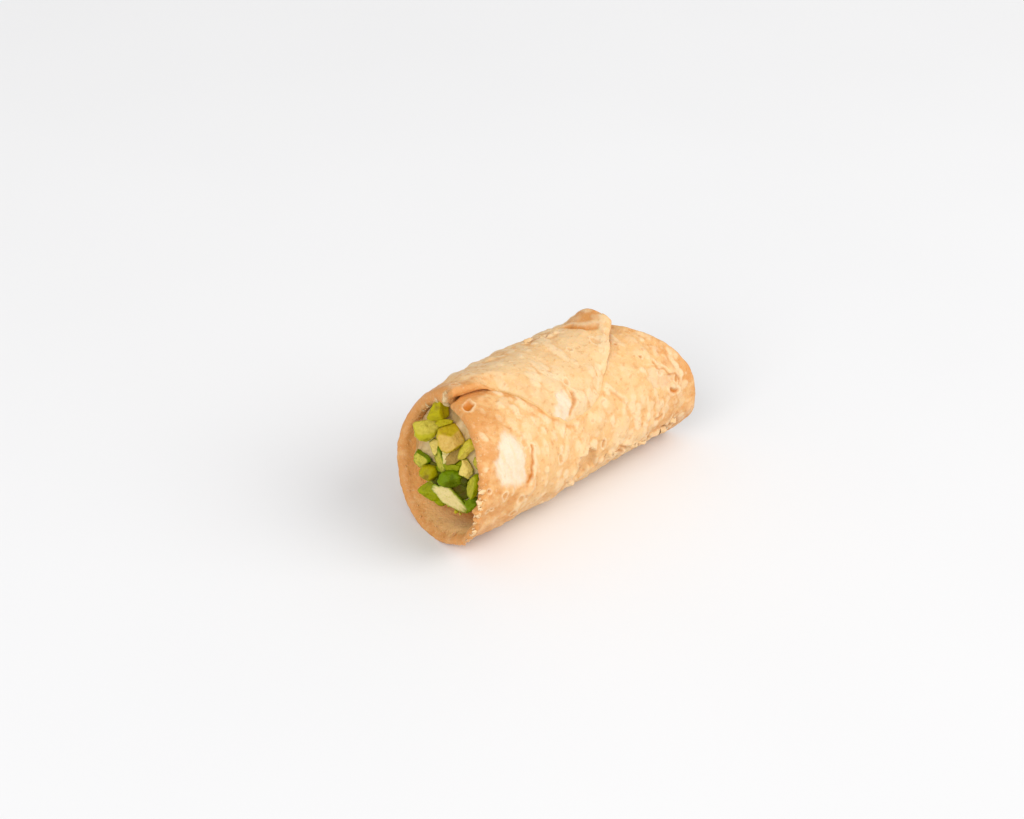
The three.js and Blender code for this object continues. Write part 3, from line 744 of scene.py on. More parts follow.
outer = outer_radius(turns, along)
inner = inner_radius(turns, along)
seated = hump(from_flap, FLAP_SEAT["reach"]) ** 0.5
seated *= smooth(np.minimum(from_near, from_far), *FLAP_SEAT["clear"])
soft = smooth(along, *SOFT_EDGE["from"]) * (1 - smooth(along, *SOFT_EDGE["to"]))
closing = lerp((outer + inner) / 2, inner + lerp(FLAP_SEAT["above"], SOFT_EDGE["above"], soft), seated)
bevelled = by_turn_on_all_layers(turns, BEVEL) * (1 - smooth(along, *BEVEL["to"]))
closing = lerp(closing, lerp(inner, outer, BEVEL["lower"]), bevelled)
bending = lerp(np.abs(outer - inner) / 2, lerp(FLAP_SEAT["round"], SOFT_EDGE["round"], soft), seated)
share = np.clip(from_edge / bending, 0, 1)
kept = lerp(np.sqrt(1 - (1 - share) ** 2), smooth(share, -0.12, 1), soft * seated)
share_inside = np.clip(from_edge / lerp(bending, BEVEL["round"], bevelled), 0, 1)
kept_inside = lerp(kept, np.sqrt(1 - (1 - share_inside) ** 2), bevelled)
outer_points = place(turns, along, lerp(closing, outer, kept))
inner_points = place(turns, along, lerp(closing, inner, kept_inside))


def quads(ids):
    """The four-sided faces between the rows and columns of a grid of points."""
    return np.stack([ids[:-1, :-1], ids[1:, :-1], ids[1:, 1:], ids[:-1, 1:]], -1).reshape(-1, 4)


def repeated(faces, points, count):
    """The faces of this many like bodies, each of so many points."""
    return np.concatenate([faces + k * points for k in range(count)]).tolist()


def closed_at_outline(shape):
    """Two faces of this many rows and columns, one over the other, that share the points of their
    outline: which of their points stay, and the quads between those."""
    upper = np.arange(math.prod(shape)).reshape(shape)
    lower = upper + upper.size
    outline = np.ones(shape, bool)
    outline[1:-1, 1:-1] = False
    lower[outline] = upper[outline]
    stay = np.concatenate([np.ones(upper.size, bool), ~outline.ravel()])
    return stay, (np.cumsum(stay) - 1)[np.concatenate([quads(upper), quads(lower)[:, ::-1]])]


kept_points, sheet_faces = closed_at_outline(turns.shape)
sheet_points = np.concatenate([outer_points.reshape(-1, 3), inner_points.reshape(-1, 3)])[kept_points]

# How strongly the sheet has browned: least on the flap, most by the near mouth, in the gap under the
# flap's edge, where the browning is painted shade, and on the lip at its far corner. FROM_TO says between
# which turns or distances along the roll each of these sets in or fades, and the floor of the near mouth
# is paler where light falls on it.
BROWNED_AND_SHADED = {
    "sheet": 0.42, "flap": -0.34, "near": 0.53, "far": 0.4, "lip": 1.15, "edge": 0.35, "seam_shade": 0.5,
    "inner": 0.9,
}
FROM_TO = {
    "flap_turn": (340, 352), "flap": (-3, 6), "near": (9, -1), "seam_shade": (22, 34), "lip": (43, 47),
    "far": (46, 66), "edge": (24, 36), "top": (300, 335), "band": (5, 14),
}
# Painted shade in the gap under the flap's edge: how far beyond the edge it lies, how wide it is, and its
# share towards the far end.
SEAM_SHADE = {"beyond": 0.6, "reach": 2.4, "far_share": 0.15}  # in mm beyond the flap's edge
BROWN_LIP = {"turn": 350, "reach": 22}
# RIM_BAND: a browner band along the top of the near rim, and where a line of painted shade runs inside it.
RIM_BAND = {"baked_and_shade": 0.6, "fades": (2.4, 4.2), "line": 3.4}  # along the top of the near rim
LIT_FLOOR = {"from_edge": 6.5, "wide": 6, "turn": 166, "reach": 62, "baked_and_shade": -0.85, "pale": 0.35}


def browned_and_shaded(turn, s):
    on_flap = smooth(turn, *FROM_TO["flap_turn"]) * smooth(s, *FROM_TO["flap"])
    near = smooth(s, *FROM_TO["near"]) * (1 - on_flap)
    beyond_flap = (turn - flap_reach(s)) * np.radians(1) * RADIUS_NEAR
    # Painted shade in the gap beyond the flap's edge, weaker towards the far end.
    seam_shade = hump(beyond_flap - SEAM_SHADE["beyond"], SEAM_SHADE["reach"]) * (turn < 180)
    seam_shade = seam_shade * lerp(1, SEAM_SHADE["far_share"], smooth(s, *FROM_TO["seam_shade"]))
    lip = smooth(s, *FROM_TO["lip"]) * by_turn(turn, BROWN_LIP)
    amount = BROWNED_AND_SHADED["sheet"] + BROWNED_AND_SHADED["flap"] * on_flap + BROWNED_AND_SHADED["near"] * near
    amount = amount + BROWNED_AND_SHADED["seam_shade"] * seam_shade + BROWNED_AND_SHADED["lip"] * lip
    return amount + BROWNED_AND_SHADED["far"] * smooth(s, *FROM_TO["far"])


def both(outer_values, inner_values):
    """Values of the outer and the inner face, for the points that are kept."""
    full = [np.broadcast_to(v, turns.shape).ravel() for v in (outer_values, inner_values)]
    return np.concatenate(full)[kept_points]


open_skin = (1 - pressed_under_flap(turns, along)) * (1 - by_turn_on_all_layers(turns, SMOOTH_UNDERSIDE))
# The face of the flap's edge is browned as painted shade, fading towards the far end.
flap_edge_shade = BROWNED_AND_SHADED["edge"] * hump(from_flap, 1.3) * (1 - smooth(along, *FROM_TO["edge"]))
on_top = smooth(turns, *FROM_TO["top"])
rim_band = RIM_BAND["baked_and_shade"] * on_top * (1 - smooth(from_edge, *RIM_BAND["fades"]))
rim_band = rim_band * (1 - smooth(along, *FROM_TO["band"]))
# A thin line of painted shade along the inner side of that band.
band_shade_line = on_top * hump(from_edge - RIM_BAND["line"], 0.9) * hump(along - 5, 9)
lit_floor = hump(from_edge - LIT_FLOOR["from_edge"], LIT_FLOOR["wide"])
lit_floor = lit_floor * by_turn_on_all_layers(turns, LIT_FLOOR)
outer_pale = on_map(pale, turns, along) * open_skin * smooth(from_edge, 0.2, 1.6)
# Browning together with the painted shade in the gap under the flap's edge and on that edge's face.
outer_baked_and_shade = browned_and_shaded(turns, along) + flap_edge_shade + rim_band
sheet_values = {
    "pale": both(outer_pale, LIT_FLOOR["pale"] * lit_floor),
    "valley_shade": both(np.maximum(on_map(valley_shade, turns, along) * open_skin, band_shade_line), 0),
    "bare": both(on_map(bare, turns, along), 0),
    "dark": both(on_map(dark, turns, along) * open_skin, 0),
    "baked_and_shade": both(outer_baked_and_shade, BROWNED_AND_SHADED["inner"] + LIT_FLOOR["baked_and_shade"] * lit_floor),
    "inside": both(0, smooth(from_edge, 0.5, 4)),
}

CRUST_COLOURS = {
    "light": (231, 193, 141), "gold": (229, 182, 122), "brown": (212, 147, 79), "pale": (236, 206, 162),
    "valley_shade": (219, 152, 86), "bare": (229, 211, 184), "cavity": (198, 114, 20), "inside": (243, 182, 110),
    "speck": (200, 128, 62),
}
CRUST = {name: linear(colour) for name, colour in CRUST_COLOURS.items()}


def crust_material(name, see_through):
    crust, places = start_material(
        name, Roughness=0.5, Specular_IOR_Level=0.35, Subsurface_Weight=see_through,
        Subsurface_Radius=(1.0, 0.5, 0.22), Subsurface_Scale=0.001,
    )

    broad = grain(places, 7, 2)
    mottled = grain(places, 2.2, 4)
    fine = grain(places, 0.8, 4)
    pores = grain(places, 0.32, 2)
    fibres = grain(places, 0.9, 3, (1, 0.3, 0.3))
    # This value holds the browning and the painted shade along the flap's edge, and is lower where light
    # is painted on the mouth's floor.
    baked_and_shade = places.read("baked_and_shade") + 0.9 * (broad - 0.5) + 0.9 * (mottled - 0.5) + 0.5 * (fine - 0.5)
    colour = baked_and_shade.between(0, 0.5).mix(CRUST["light"], CRUST["gold"])
    colour = baked_and_shade.between(0.5, 1).mix(colour, CRUST["brown"])
    colour = (places.read("inside") * 0.7).mix(colour, CRUST["inside"])
    # Painted shade in the valleys between the blisters and along the near rim's band.
    colour = (places.read("valley_shade") * (0.3 + 0.6 * mottled)).mix(colour, CRUST["valley_shade"])
    colour = (places.read("pale") * (0.4 + 1.0 * fine)).mix(colour, CRUST["pale"])
    colour = (fine.between(0.55, 0.72) * 0.4).mix(colour, CRUST["speck"])
    colour = (pores.between(0.42, 0.25) * 0.35).mix(colour, CRUST["pale"])
    floor = (fibres.between(0.42, 0.7) * 0.5).mix(CRUST["bare"], CRUST["light"])
    colour = (places.read("bare") * (0.75 + 0.5 * fine)).mix(colour, floor)
    colour = places.read("dark").mix(colour, CRUST["cavity"])
    height = fine + 0.35 * pores + 0.3 * fibres + 0.8 * mottled
    finish_material(places, colour, height, 0.0003, 0.4 + 0.24 * fine)
    return crust


fried_dough = crust_material("fried_dough", 0.15)
thin_skin = crust_material("thin_skin", 0.0)
sheet = make_piece("fried_sheet", sheet_points, sheet_faces.tolist(), fried_dough, sheet_values)
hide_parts("shell")

# ---- torn skin and crumbs ----
# Shards of blister skin, each a thin curved leaf that still hangs on at its root, on the torn rims
# and along the underside, and crumbs of dough that cling to the thin part of the near rim.

# Leaves: (s, turn, length, width, way in degrees from +s towards a higher turn, lift in degrees).
LEAVES = [
    (35.6, 108, 4.2, 2.2, 14, 7), (44.6, 112, 3.4, 2.0, 22, 7), (49.5, 118, 3.6, 2.2, 8, 8),
    (58.6, 118, 4.6, 3.0, 25, 10), (62.5, 112, 2.8, 1.8, 10, 8), (31.0, 337, 3.0, 1.8, 20, 16),
    (35.0, 342, 2.6, 1.6, 10, 16),
]
RIM_FLAKES = {
    "count": 30, "turn": (78, 132), "length": (1.2, 2.4), "width": (0.9, 1.7), "sunk": (0.0, 0.9),
    "root": 1.3, "way": (130, 230), "lift": -12,
}
LEAF_LINES = (15, 9)  # points from root to tip, and from side to side
LEAF_THICK = 0.16  # a leaf's middle is 1.2 times as thick
CRUMBS = {"count": 80, "turn": (30, 150), "size": (0.1, 0.3), "along": (0.0, 1.3)}
LIP_CRUMBS = {"count": 50, "turn": (150, 320), "size": (0.08, 0.22), "along": (0.1, 2.2)}


def leaf(s, turn, length, width, way, lift, sunk, seed):
    """Points of a leaf: its upper and its lower face, which meet at the outline. On both, u runs from
    the root to the tip and v from side to side."""
    u, v = np.meshgrid(np.linspace(0, 1, LEAF_LINES[0]), np.linspace(-1, 1, LEAF_LINES[1]), indexing="ij")
    taper = np.sqrt(np.sin(np.pi * lerp(0.16, 1.0, u) ** 0.9).clip(0)) + 0.03
    ragged = 1 + 0.6 * noise(u * 5, v * 0.7, seed)
    out, side = u * length, v * width / 2 * taper * ragged
    a = np.radians(way)
    at_s = s + out * np.cos(a) - side * np.sin(a)
    at_turn = turn + np.degrees((out * np.sin(a) + side * np.cos(a)) / base_radius(s))
    height = out * math.tan(math.radians(lift)) * (0.35 + 0.65 * u) + 0.15 * width * (1 - v * v) * taper
    height += 0.3 * noise(u * 3, v * 1.5, seed + 0.5) - 0.12 - sunk
    thick = LEAF_THICK * np.sqrt((1 - v**2).clip(0)) * np.sqrt((1 - u).clip(0) * (u + 0.2))
    radius = outer_radius(at_turn, at_s) + height
    upper, lower = place(at_turn, at_s, radius + thick), place(at_turn, at_s, radius - thick)
    return upper, lower


pick = np.random.default_rng(21)
hanging = [(*place_and_size, 0.0) for place_and_size in LEAVES]
for _ in range(RIM_FLAKES["count"]):
    turn, sunk = pick.uniform(*RIM_FLAKES["turn"]), pick.uniform(*RIM_FLAKES["sunk"])
    length, width = pick.uniform(*RIM_FLAKES["length"]), pick.uniform(*RIM_FLAKES["width"])
    root, way = near_edge(turn) + RIM_FLAKES["root"], pick.uniform(*RIM_FLAKES["way"])
    hanging.append((root, turn, length, width, way, RIM_FLAKES["lift"], sunk))
stay, one_leaf = closed_at_outline(LEAF_LINES)
leaf_points = []
for k, flake in enumerate(hanging):
    upper, lower = leaf(*flake, 1.7 * k + 0.3)
    leaf_points.append(np.concatenate([upper.reshape(-1, 3), lower.reshape(-1, 3)])[stay])
leaf_faces = repeated(one_leaf, stay.sum(), len(hanging))
number = np.arange(len(stay))[stay]
on_top = number < math.prod(LEAF_LINES)
share = number % math.prod(LEAF_LINES) // LEAF_LINES[1] / (LEAF_LINES[0] - 1)
one_leaf_values = {key: np.zeros(len(number)) for key in sheet_values}
one_leaf_values["pale"] = np.where(on_top, 0.2 + 0.5 * share, 0.0)
one_leaf_values["baked_and_shade"] = np.where(on_top, 0.45 - 0.3 * share, 0.9)
leaf_values = {key: np.tile(values, len(hanging)) for key, values in one_leaf_values.items()}
leaves = make_piece("torn_skin", np.concatenate(leaf_points), leaf_faces, thin_skin, leaf_values)
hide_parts("shell")


def ball(detail):
    """A ball of radius 1 as its points and its triangles."""
    made = bmesh.new()
    bmesh.ops.create_icosphere(made, subdivisions=detail, radius=1)
    points = np.array([v.co for v in made.verts])
    faces = np.array([[v.index for v in f.verts] for f in made.faces])
    made.free()
    return points, faces


def on_rim(turn, s, face):
    """The radius of the outer or the inner face, which both bend to the wall's middle at the rim."""
    bent = np.sqrt(1 - (1 - np.clip((s - near_edge(turn)) / EDGE_HALF, 0, 1)) ** 2)
    return lerp((outer_radius(turn, s) + inner_radius(turn, s)) / 2, face(turn, s), bent)


grit, grit_faces = ball(3)
pick = np.random.default_rng(12)
crumb_points = []
for kind, face in ((CRUMBS, outer_radius), (LIP_CRUMBS, inner_radius)):
    for _ in range(kind["count"]):
        turn = pick.uniform(*kind["turn"])
        s = near_edge(turn) + pick.uniform(*kind["along"])
        half = pick.uniform(*kind["size"]) * pick.uniform(0.6, 1.4, 3)
        lumpy = 1 + 0.5 * noise(*(grit * 1.3 + pick.uniform(0, 50)).T)
        crumb_points.append(place(turn, s, on_rim(turn, s, face)) + grit * half * lumpy[:, None])
crumb_faces = repeated(grit_faces, len(grit), len(crumb_points))
crumb_points = np.concatenate(crumb_points)
crumb_values = {key: np.zeros(len(crumb_points)) for key in sheet_values}
crumb_values["pale"] = 0.1 + 0.4 * noise(*(crumb_points / 1.5).T)
crumb_values["baked_and_shade"] += 0.7
crumbs = make_piece("rim_crumbs", crumb_points, crumb_faces, thin_skin, crumb_values)
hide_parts("shell")

# ---- cream ----
# A plug of sweet ricotta cream that fills the roll. Each face is lumpy and streaked where it was
# piped and smoothed with a knife, falls back near the wall, and has left smears on the rim.
CREAM_GAP = 0.05
NEAR_END = {"middle": -3.6, "across": -0.05, "upward": 0.1, "out": -1, "seed": 1.3}
FAR_END = {"middle": 57.5, "across": -0.42, "upward": -0.12, "out": 1, "seed": 6.1}
CREAM_TURNS = 260  # points round the plug
CREAM_RINGS = 90  # rings of points on each face
CREAM_SIDE_ROWS = 30  # rings of points along the wall
LUMPS = [(4.5, 1.0), (1.8, 0.45), (0.7, 0.14)]  # how far apart, and how high
SHOULDER = {"from": 0.6, "back": 3.2}
CREVICE = {"turn": 140, "reach": 80, "back": 6.0}
# Smears: (turn, way from the rim's edge inwards, half long, half wide, way in degrees from +s).
SMEARS = [
    (340, 0.7, 1.4, 0.9, -20), (350, 0.4, 2.0, 1.5, -14), (323, 1.0, 1.3, 0.6, -28),
    (311, 1.8, 1.5, 0.6, -24), (292, 3.6, 2.2, 0.7, -14),
]
SMEAR_THICK = 0.25
SMEAR_COLOUR = (240, 216, 168)
CREAM_COLOURS = {"light": (214, 187, 134), "shade": (196, 164, 108)}


def cream_radius(turn, s):
    start = np.where(turn > 300, inner_radius(turn - 360, s), np.inf)
    return np.minimum(inner_radius(turn, s), start) - CREAM_GAP


def cream_face(end, y, z):
    """Where a face of the cream lies along the roll, at a place across the mouth."""
    at = end["middle"] + end["across"] * y + end["upward"] * z
    lumps = enumerate(LUMPS)
    return at + sum(height * noise(y / apart, z / apart, end["seed"] + k) for k, (apart, height) in lumps)


def face_points(end, share, turn):
    """Points of a face at this share of the way from its middle to the wall."""
    r = share * cream_radius(turn, end["middle"])
    y, z = -r * np.sin(np.radians(turn)), r * np.cos(np.radians(turn))
    back = SHOULDER["back"] + CREVICE["back"] * by_turn(turn, CREVICE)
    return cream_face(end, y, z) - end["out"] * back * smooth(share, SHOULDER["from"], 1.0), y, z


cream_turns = np.linspace(0, 360, CREAM_TURNS, endpoint=False)
shares = np.sin(np.linspace(0.02, np.pi / 2, CREAM_RINGS))
rows = []
for end, order in ((NEAR_END, shares), (FAR_END, shares[::-1])):
    for share in order:
        s, y, z = face_points(end, share, cream_turns)
        rows.append(np.stack([s, y, z + base_radius(s) - FLAT], -1) - ORIGIN)
    if end is NEAR_END:
        near_s = s
        far_s = face_points(FAR_END, 1.0, cream_turns)[0]
        for share in np.linspace(0, 1, CREAM_SIDE_ROWS + 2)[1:-1]:
            s = lerp(near_s, far_s, share)
            rows.append(place(cream_turns, s, cream_radius(cream_turns, s)))
cream_points = np.concatenate(rows)
ring_ids = np.arange(len(cream_points)).reshape(len(rows), CREAM_TURNS)
ring_ids = np.concatenate([ring_ids, ring_ids[:, :1]], 1)
cream_faces = quads(ring_ids)[:, ::-1].tolist()
cream_faces += [ring_ids[0, :-1].tolist(), ring_ids[-1, -2::-1].tolist()]  # the middles of both

cream_material, places = start_material(
    "ricotta_cream", Roughness=0.38, Specular_IOR_Level=0.45, Subsurface_Weight=0.3,
    Subsurface_Radius=(1.0, 0.8, 0.5), Subsurface_Scale=0.0015,
)
curds = grain(places, 1.1, 3)
streaks = grain(places, 1.6, 2, (0.4, 1, 0.4))
colour = (streaks.between(0.4, 0.62)).mix(linear(CREAM_COLOURS["light"]), linear(CREAM_COLOURS["shade"]))
finish_material(places, colour, curds, 0.0003)
cream = make_piece("cream", cream_points, cream_faces, cream_material)
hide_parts("filling")

dab, dab_faces = ball(4)
smear_points = []
for k, (turn, over, half_long, half_wide, way) in enumerate(SMEARS):
    ragged = 1 + 0.7 * noise(*(dab * 1.6 + 7.3 * k).T)
    long, wide, a = half_long * dab[:, 0] * ragged, half_wide * dab[:, 1] * ragged, math.radians(way)
    around = turn + np.degrees((long * math.sin(a) + wide * math.cos(a)) / RADIUS_NEAR)
    over = over + long * math.cos(a) - wide * math.sin(a)
    bend = np.minimum(np.abs(over) / EDGE_HALF, np.pi / 2)
    s = near_edge(around) + EDGE_HALF * (1 - np.cos(bend)) + np.abs(over) - EDGE_HALF * bend
    radius = np.where(over > 0, on_rim(around, s, inner_radius), on_rim(around, s, outer_radius))
    proud = SMEAR_THICK * (dab[:, 2] + 0.4)
    outwards = radius - proud * np.sin(bend) * np.sign(over)
    smear_points.append(place(around, s - proud * np.cos(bend), outwards))
smear_faces = repeated(dab_faces, len(dab), len(SMEARS))
film, places = start_material("cream_film", Roughness=0.4, Specular_IOR_Level=0.4)
wiped = places.read("thickest") * grain(places, 0.8, 3).between(0.1, 0.75)
places.tree.links.new(wiped.socket, places.tree.nodes["Principled BSDF"].inputs["Alpha"])
finish_material(places, wiped.mix(linear(CREAM_COLOURS["light"]), linear(SMEAR_COLOUR)))
thickness = smooth(1 - np.hypot(dab[:, 0], dab[:, 1]), 0.0, 0.6)
smear_values = {"thickest": np.tile(thickness, len(SMEARS))}
smears = make_piece("cream_smears", np.concatenate(smear_points), smear_faces, film, smear_values)
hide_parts("filling")

# ---- chopped pistachio ----
# Shelled kernels, chopped with a knife and pressed into the cream. A piece keeps some of the
# kernel's curved skin, and is flat and paler where it was cut. The same pieces lie at both mouths,
# with smaller bits between them.

# The outlines are drawn on a grid that stands before the near mouth, square to the view: x counts to
# the right and y down from the grid's corner, in steps of DRAWN mm. MIDDLE is where the roll's axis
# meets s = 0. Each piece: kind, how far out of the cream, how thick, its outline, and its cuts: a way
# (right, up, towards the viewer), how far out the cut lies in mm, and how much flesh it shows.
DRAWN = 0.278
MIDDLE = (65.6, 76.1)
PIECES = [
    ("olive", 1.6, 2.4, [
        (31, 36), (34, 29), (37, 23), (42, 20), (48, 21), (52, 26), (52, 33), (48, 37), (43, 39),
        (36, 38.5),
    ], [(-0.5, 0.35, 0.8, 1.7, 0.35), (0.75, 0.1, 0.65, 1.5, 0.1), (-0.2, -0.6, 0.7, 1.9, 0.3)]),
    ("yellow", 1.6, 2.3, [
        (18, 42), (20, 40), (27, 39), (34, 38), (40, 37.5), (44, 39), (43, 45), (40, 51), (36, 55),
        (30, 57.5), (23, 57), (19.5, 52),
    ], [(-0.1, 0.5, 0.85, 1.15, 0.85)]),
    ("olive", 1.9, 1.1, [
        (39, 41), (43, 38), (48, 37), (53, 37.5), (56, 38.5), (54, 41), (48, 43), (43, 45),
    ], [(0, 0.3, 1, 0.5, 0.4)]),
    ("ochre", 2.1, 2.8, [
        (41, 54), (43, 47), (46.5, 43), (51, 40.5), (57, 41), (61, 45), (62.5, 50), (66, 55.5), (66, 60),
        (61, 63.5), (55, 66.5), (50, 69), (46, 66), (42.5, 61),
    ], [(-0.2, -0.3, 0.93, 2.1, 1.0), (0.5, 0.1, 0.85, 2.2, 0.8), (0.0, 0.6, 0.8, 2.0, 0.05)]),
    ("half", 2.7, 0.6, [
        (44.5, 63), (48, 67), (53, 68.5), (51, 73), (48.5, 79), (46, 80), (45.5, 73),
    ], [(0, 0, 1, 0.4, 1.0)]),
    ("pale", 0.9, 1.5, [
        (32.5, 59), (37, 56), (42, 57), (42.5, 62), (40.5, 68), (38, 71.5), (35.5, 68), (33, 63),
    ], [(-0.2, 0.1, 1, 0.6, 1.0)]),
    ("green", 1.4, 2.3, [
        (16.5, 77), (19, 71.5), (21.5, 66.5), (26, 67.5), (31.5, 72), (34.5, 77), (32, 79.5), (28, 80.5),
        (23, 83), (19, 80.5),
    ], [(-0.6, -0.35, 0.72, 0.8, 1.0), (0.2, 0.8, 0.6, 1.7, 0.1)]),
    ("green", 1.3, 1.9, [
        (34, 76), (39, 69.5), (41, 63), (44, 67), (46, 74), (48, 81), (50, 86), (47.5, 89), (43.5, 88),
        (39, 84), (35.5, 80),
    ], [(-0.85, -0.25, 0.5, 0.15, 0.9), (0.1, -0.8, 0.6, 2.8, 1.0)]),
    ("yellow", 1.8, 2.1, [
        (60.5, 73.5), (61.5, 69), (64, 63.5), (67, 58.5), (71.5, 55), (76, 57), (77, 64), (72, 69),
        (66.5, 74.5), (62.5, 75.5),
    ], [(-0.65, 0.2, 0.74, 1.0, 0.6), (0.35, -0.65, 0.7, 1.0, 1.0)]),
    ("beige", 1.0, 1.8, [
        (45.5, 79), (49, 73), (53, 69), (59, 65), (65, 63), (68, 66), (66.5, 72), (62, 76), (56, 79),
        (50, 80.5),
    ], [(0.1, -0.25, 1, 0.7, 1.0)]),
    ("olive", 1.9, 2.4, [
        (22.5, 87), (25, 82), (30, 79.5), (36, 80.5), (40.5, 85), (41, 90), (37, 94.5), (32, 96.5),
        (27, 94.5), (23.5, 91),
    ], [(0.1, 0.9, 0.3, 2.0, 0.1)]),
    ("lime", 1.3, 2.1, [
        (47.5, 80), (52, 78), (58, 77), (64, 76.5), (64, 80.5), (61, 86), (57, 90), (51, 89), (48, 85),
    ], [(-0.35, -0.35, 0.88, 0.9, 0.3), (0, 0.9, 0.4, 1.0, 0.0)]),
    ("pale", 1.8, 2.2, [
        (64, 75), (68.5, 75), (71, 78), (75, 84.5), (74, 89), (70, 94), (66, 91), (61, 89), (63.5, 82),
    ], [(-0.55, -0.1, 0.83, 0.8, 1.0), (0.4, 0.35, 0.85, 1.0, 0.9), (0.5, -0.6, 0.6, 1.5, 0.9)]),
    ("green", 2.0, 2.5, [
        (41, 96), (42.5, 91), (46, 88), (51, 86.5), (56, 86), (61, 87), (66, 91.5), (71, 95), (70, 99),
        (65, 102), (56, 102), (48, 101), (43, 99.5),
    ], [(0.3, -0.75, 0.6, 1.6, 0.1)]),
    ("lime", 1.7, 2.3, [
        (21.5, 105.5), (26, 101), (32, 97), (35.5, 98.5), (38, 105), (42, 110), (42, 117), (35, 116),
        (27, 112), (23, 109),
    ], [(-0.35, 0.35, 0.87, 1.2, 0.3), (-0.3, -0.7, 0.65, 1.3, 0.1)]),
    ("half", 2.4, 2.6, [
        (34, 104.5), (36, 101), (38.5, 99.5), (41, 101.5), (44, 101), (46, 98.5), (49, 98.5), (55, 103.5),
        (61, 109.5), (66, 116), (70, 122), (69, 126), (64, 126), (58, 123.5), (52, 121), (45, 117.5),
        (40, 111), (37, 107.5),
    ], [(-0.5, -0.48, 0.72, 0.5, 1.0)]),
    # The dark pieces stand for nuts lying in shade between the others: painted shade.
    ("shaded_green", 0.7, 1.8, [
        (55, 100), (63, 98.5), (71, 99.5), (72, 106), (69, 112), (64, 114), (59, 110), (55.5, 105),
    ], [(-0.2, -0.3, 0.9, 1.0, 0.3)]),
    ("lime", 1.9, 2.0, [
        (67.5, 101), (70, 96), (73, 92), (76.5, 90), (80, 89.5), (81, 96), (80, 103), (77.5, 109),
        (72.5, 112), (69, 108),
    ], [(-0.86, 0.1, 0.5, 0.75, 0.85)]),
    ("green", 1.5, 2.0, [
        (67.5, 115.5), (71, 112), (75.5, 110), (79, 112), (79, 119), (75.5, 123), (71, 125), (68, 121),
    ], [(-0.35, 0.5, 0.8, 1.2, 0.1)]),
    ("green", 1.1, 1.4, [
        (74.5, 77), (76, 73), (79, 72), (81, 80), (81, 87), (78, 84), (75.5, 80),
    ], [(-0.4, 0.4, 0.9, 0.6, 0.9)]),
    ("shaded_green", 0.9, 1.7, [(35, 96), (40, 92), (46, 96), (48, 100), (42, 103), (37, 101)], []),
    ("shaded_green", 0.5, 1.7, [(62, 92), (66, 90), (71, 94), (72, 99), (67, 100), (62, 97)], []),
    ("shaded_green", 0.2, 1.8, [(40, 84), (44, 82), (48, 88), (46, 93), (41, 93), (39, 89)], []),
    ("shaded_green", 0.2, 1.7, [(34, 78), (38, 80), (41, 84), (38, 88), (34, 84)], [(-0.2, 0.1, 1, 0.9, 0.5)]),
    ("green", 0.8, 1.8, [
        (80, 101), (86, 98), (91, 103), (90, 111), (85, 114), (80, 110),
    ], [(-0.2, 0.5, 0.9, 0.9, 0.8)]),
    ("yellow", 0.8, 1.8, [
        (82, 80), (87, 78), (93, 83), (92, 92), (87, 95), (82, 90),
    ], [(0.2, 0.4, 0.9, 0.8, 0.9)]),
]
GROWN = 1.05  # a piece is drawn a little larger, because its worn corners take some away
BLOCKY = 3.4  # how squarely a piece's outline turns into its front
SHARP = 15  # how sharply its cuts meet each other and the skin
ROUGH = [(0.5, 0.14), (1.1, 0.3)]  # how far apart the bumps of a cut are, and how high
CURVED = (2.4, 0.4)  # the same for the swells of the skin
SIDE_STEPS = 12  # points on each side of an outline
FAR_TURN = 150  # how far round the same pieces lie at the far mouth, in degrees
FAR_SCALE = 0.93  # and how large they are there
BITS = [  # small pieces and crumbs of nut between the large ones
    {"count": 16, "size": (1.2, 2.2), "reach": 10, "low": -9, "out": 0.2},
    {"count": 30, "size": (0.35, 0.9), "reach": 9, "low": -10, "out": 0.15},
]
KERNEL_COLOURS = {
    "olive": {"skin": (172, 160, 6), "patch": (122, 92, 36), "flesh": (206, 192, 40)},
    "yellow": {"skin": (186, 176, 34), "patch": (160, 154, 14), "flesh": (220, 202, 84)},
    "ochre": {"skin": (196, 172, 28), "patch": (190, 150, 50), "flesh": (220, 184, 98)},
    "pale": {"skin": (162, 168, 26), "patch": (206, 176, 96), "flesh": (230, 206, 112)},
    "half": {"skin": (132, 154, 10), "patch": (186, 184, 76), "flesh": (230, 211, 146)},
    # The beige kind is a beige kernel made darker with painted shade.
    "beige": {"skin": (150, 124, 48), "patch": (128, 104, 36), "flesh": (178, 146, 76)},
    "green": {"skin": (112, 136, 0), "patch": (80, 98, 0), "flesh": (200, 188, 72)},
    "lime": {"skin": (146, 154, 0), "patch": (112, 122, 0), "flesh": (190, 182, 56)},
    # A dark copy of the green kind, as painted shade.
    "shaded_green": {"skin": (76, 80, 0), "patch": (78, 54, 8), "flesh": (112, 104, 14)},
}
BIT_KINDS = ["yellow", "ochre", "pale", "half", "green", "lime", "shaded_green"]


def distances_round(outline):
    """How far an outline lies from its middle: ways in radians and distances, all the way round."""
    corners = np.array(outline) - np.mean(outline, 0)
    sides = np.linspace(corners, np.roll(corners, -1, 0), SIDE_STEPS, endpoint=False).reshape(-1, 2)
    ways = np.arctan2(-sides[:, 1], sides[:, 0])
    order = np.argsort(ways)
    return ways[order], GROWN * DRAWN * np.hypot(*sides.T)[order]


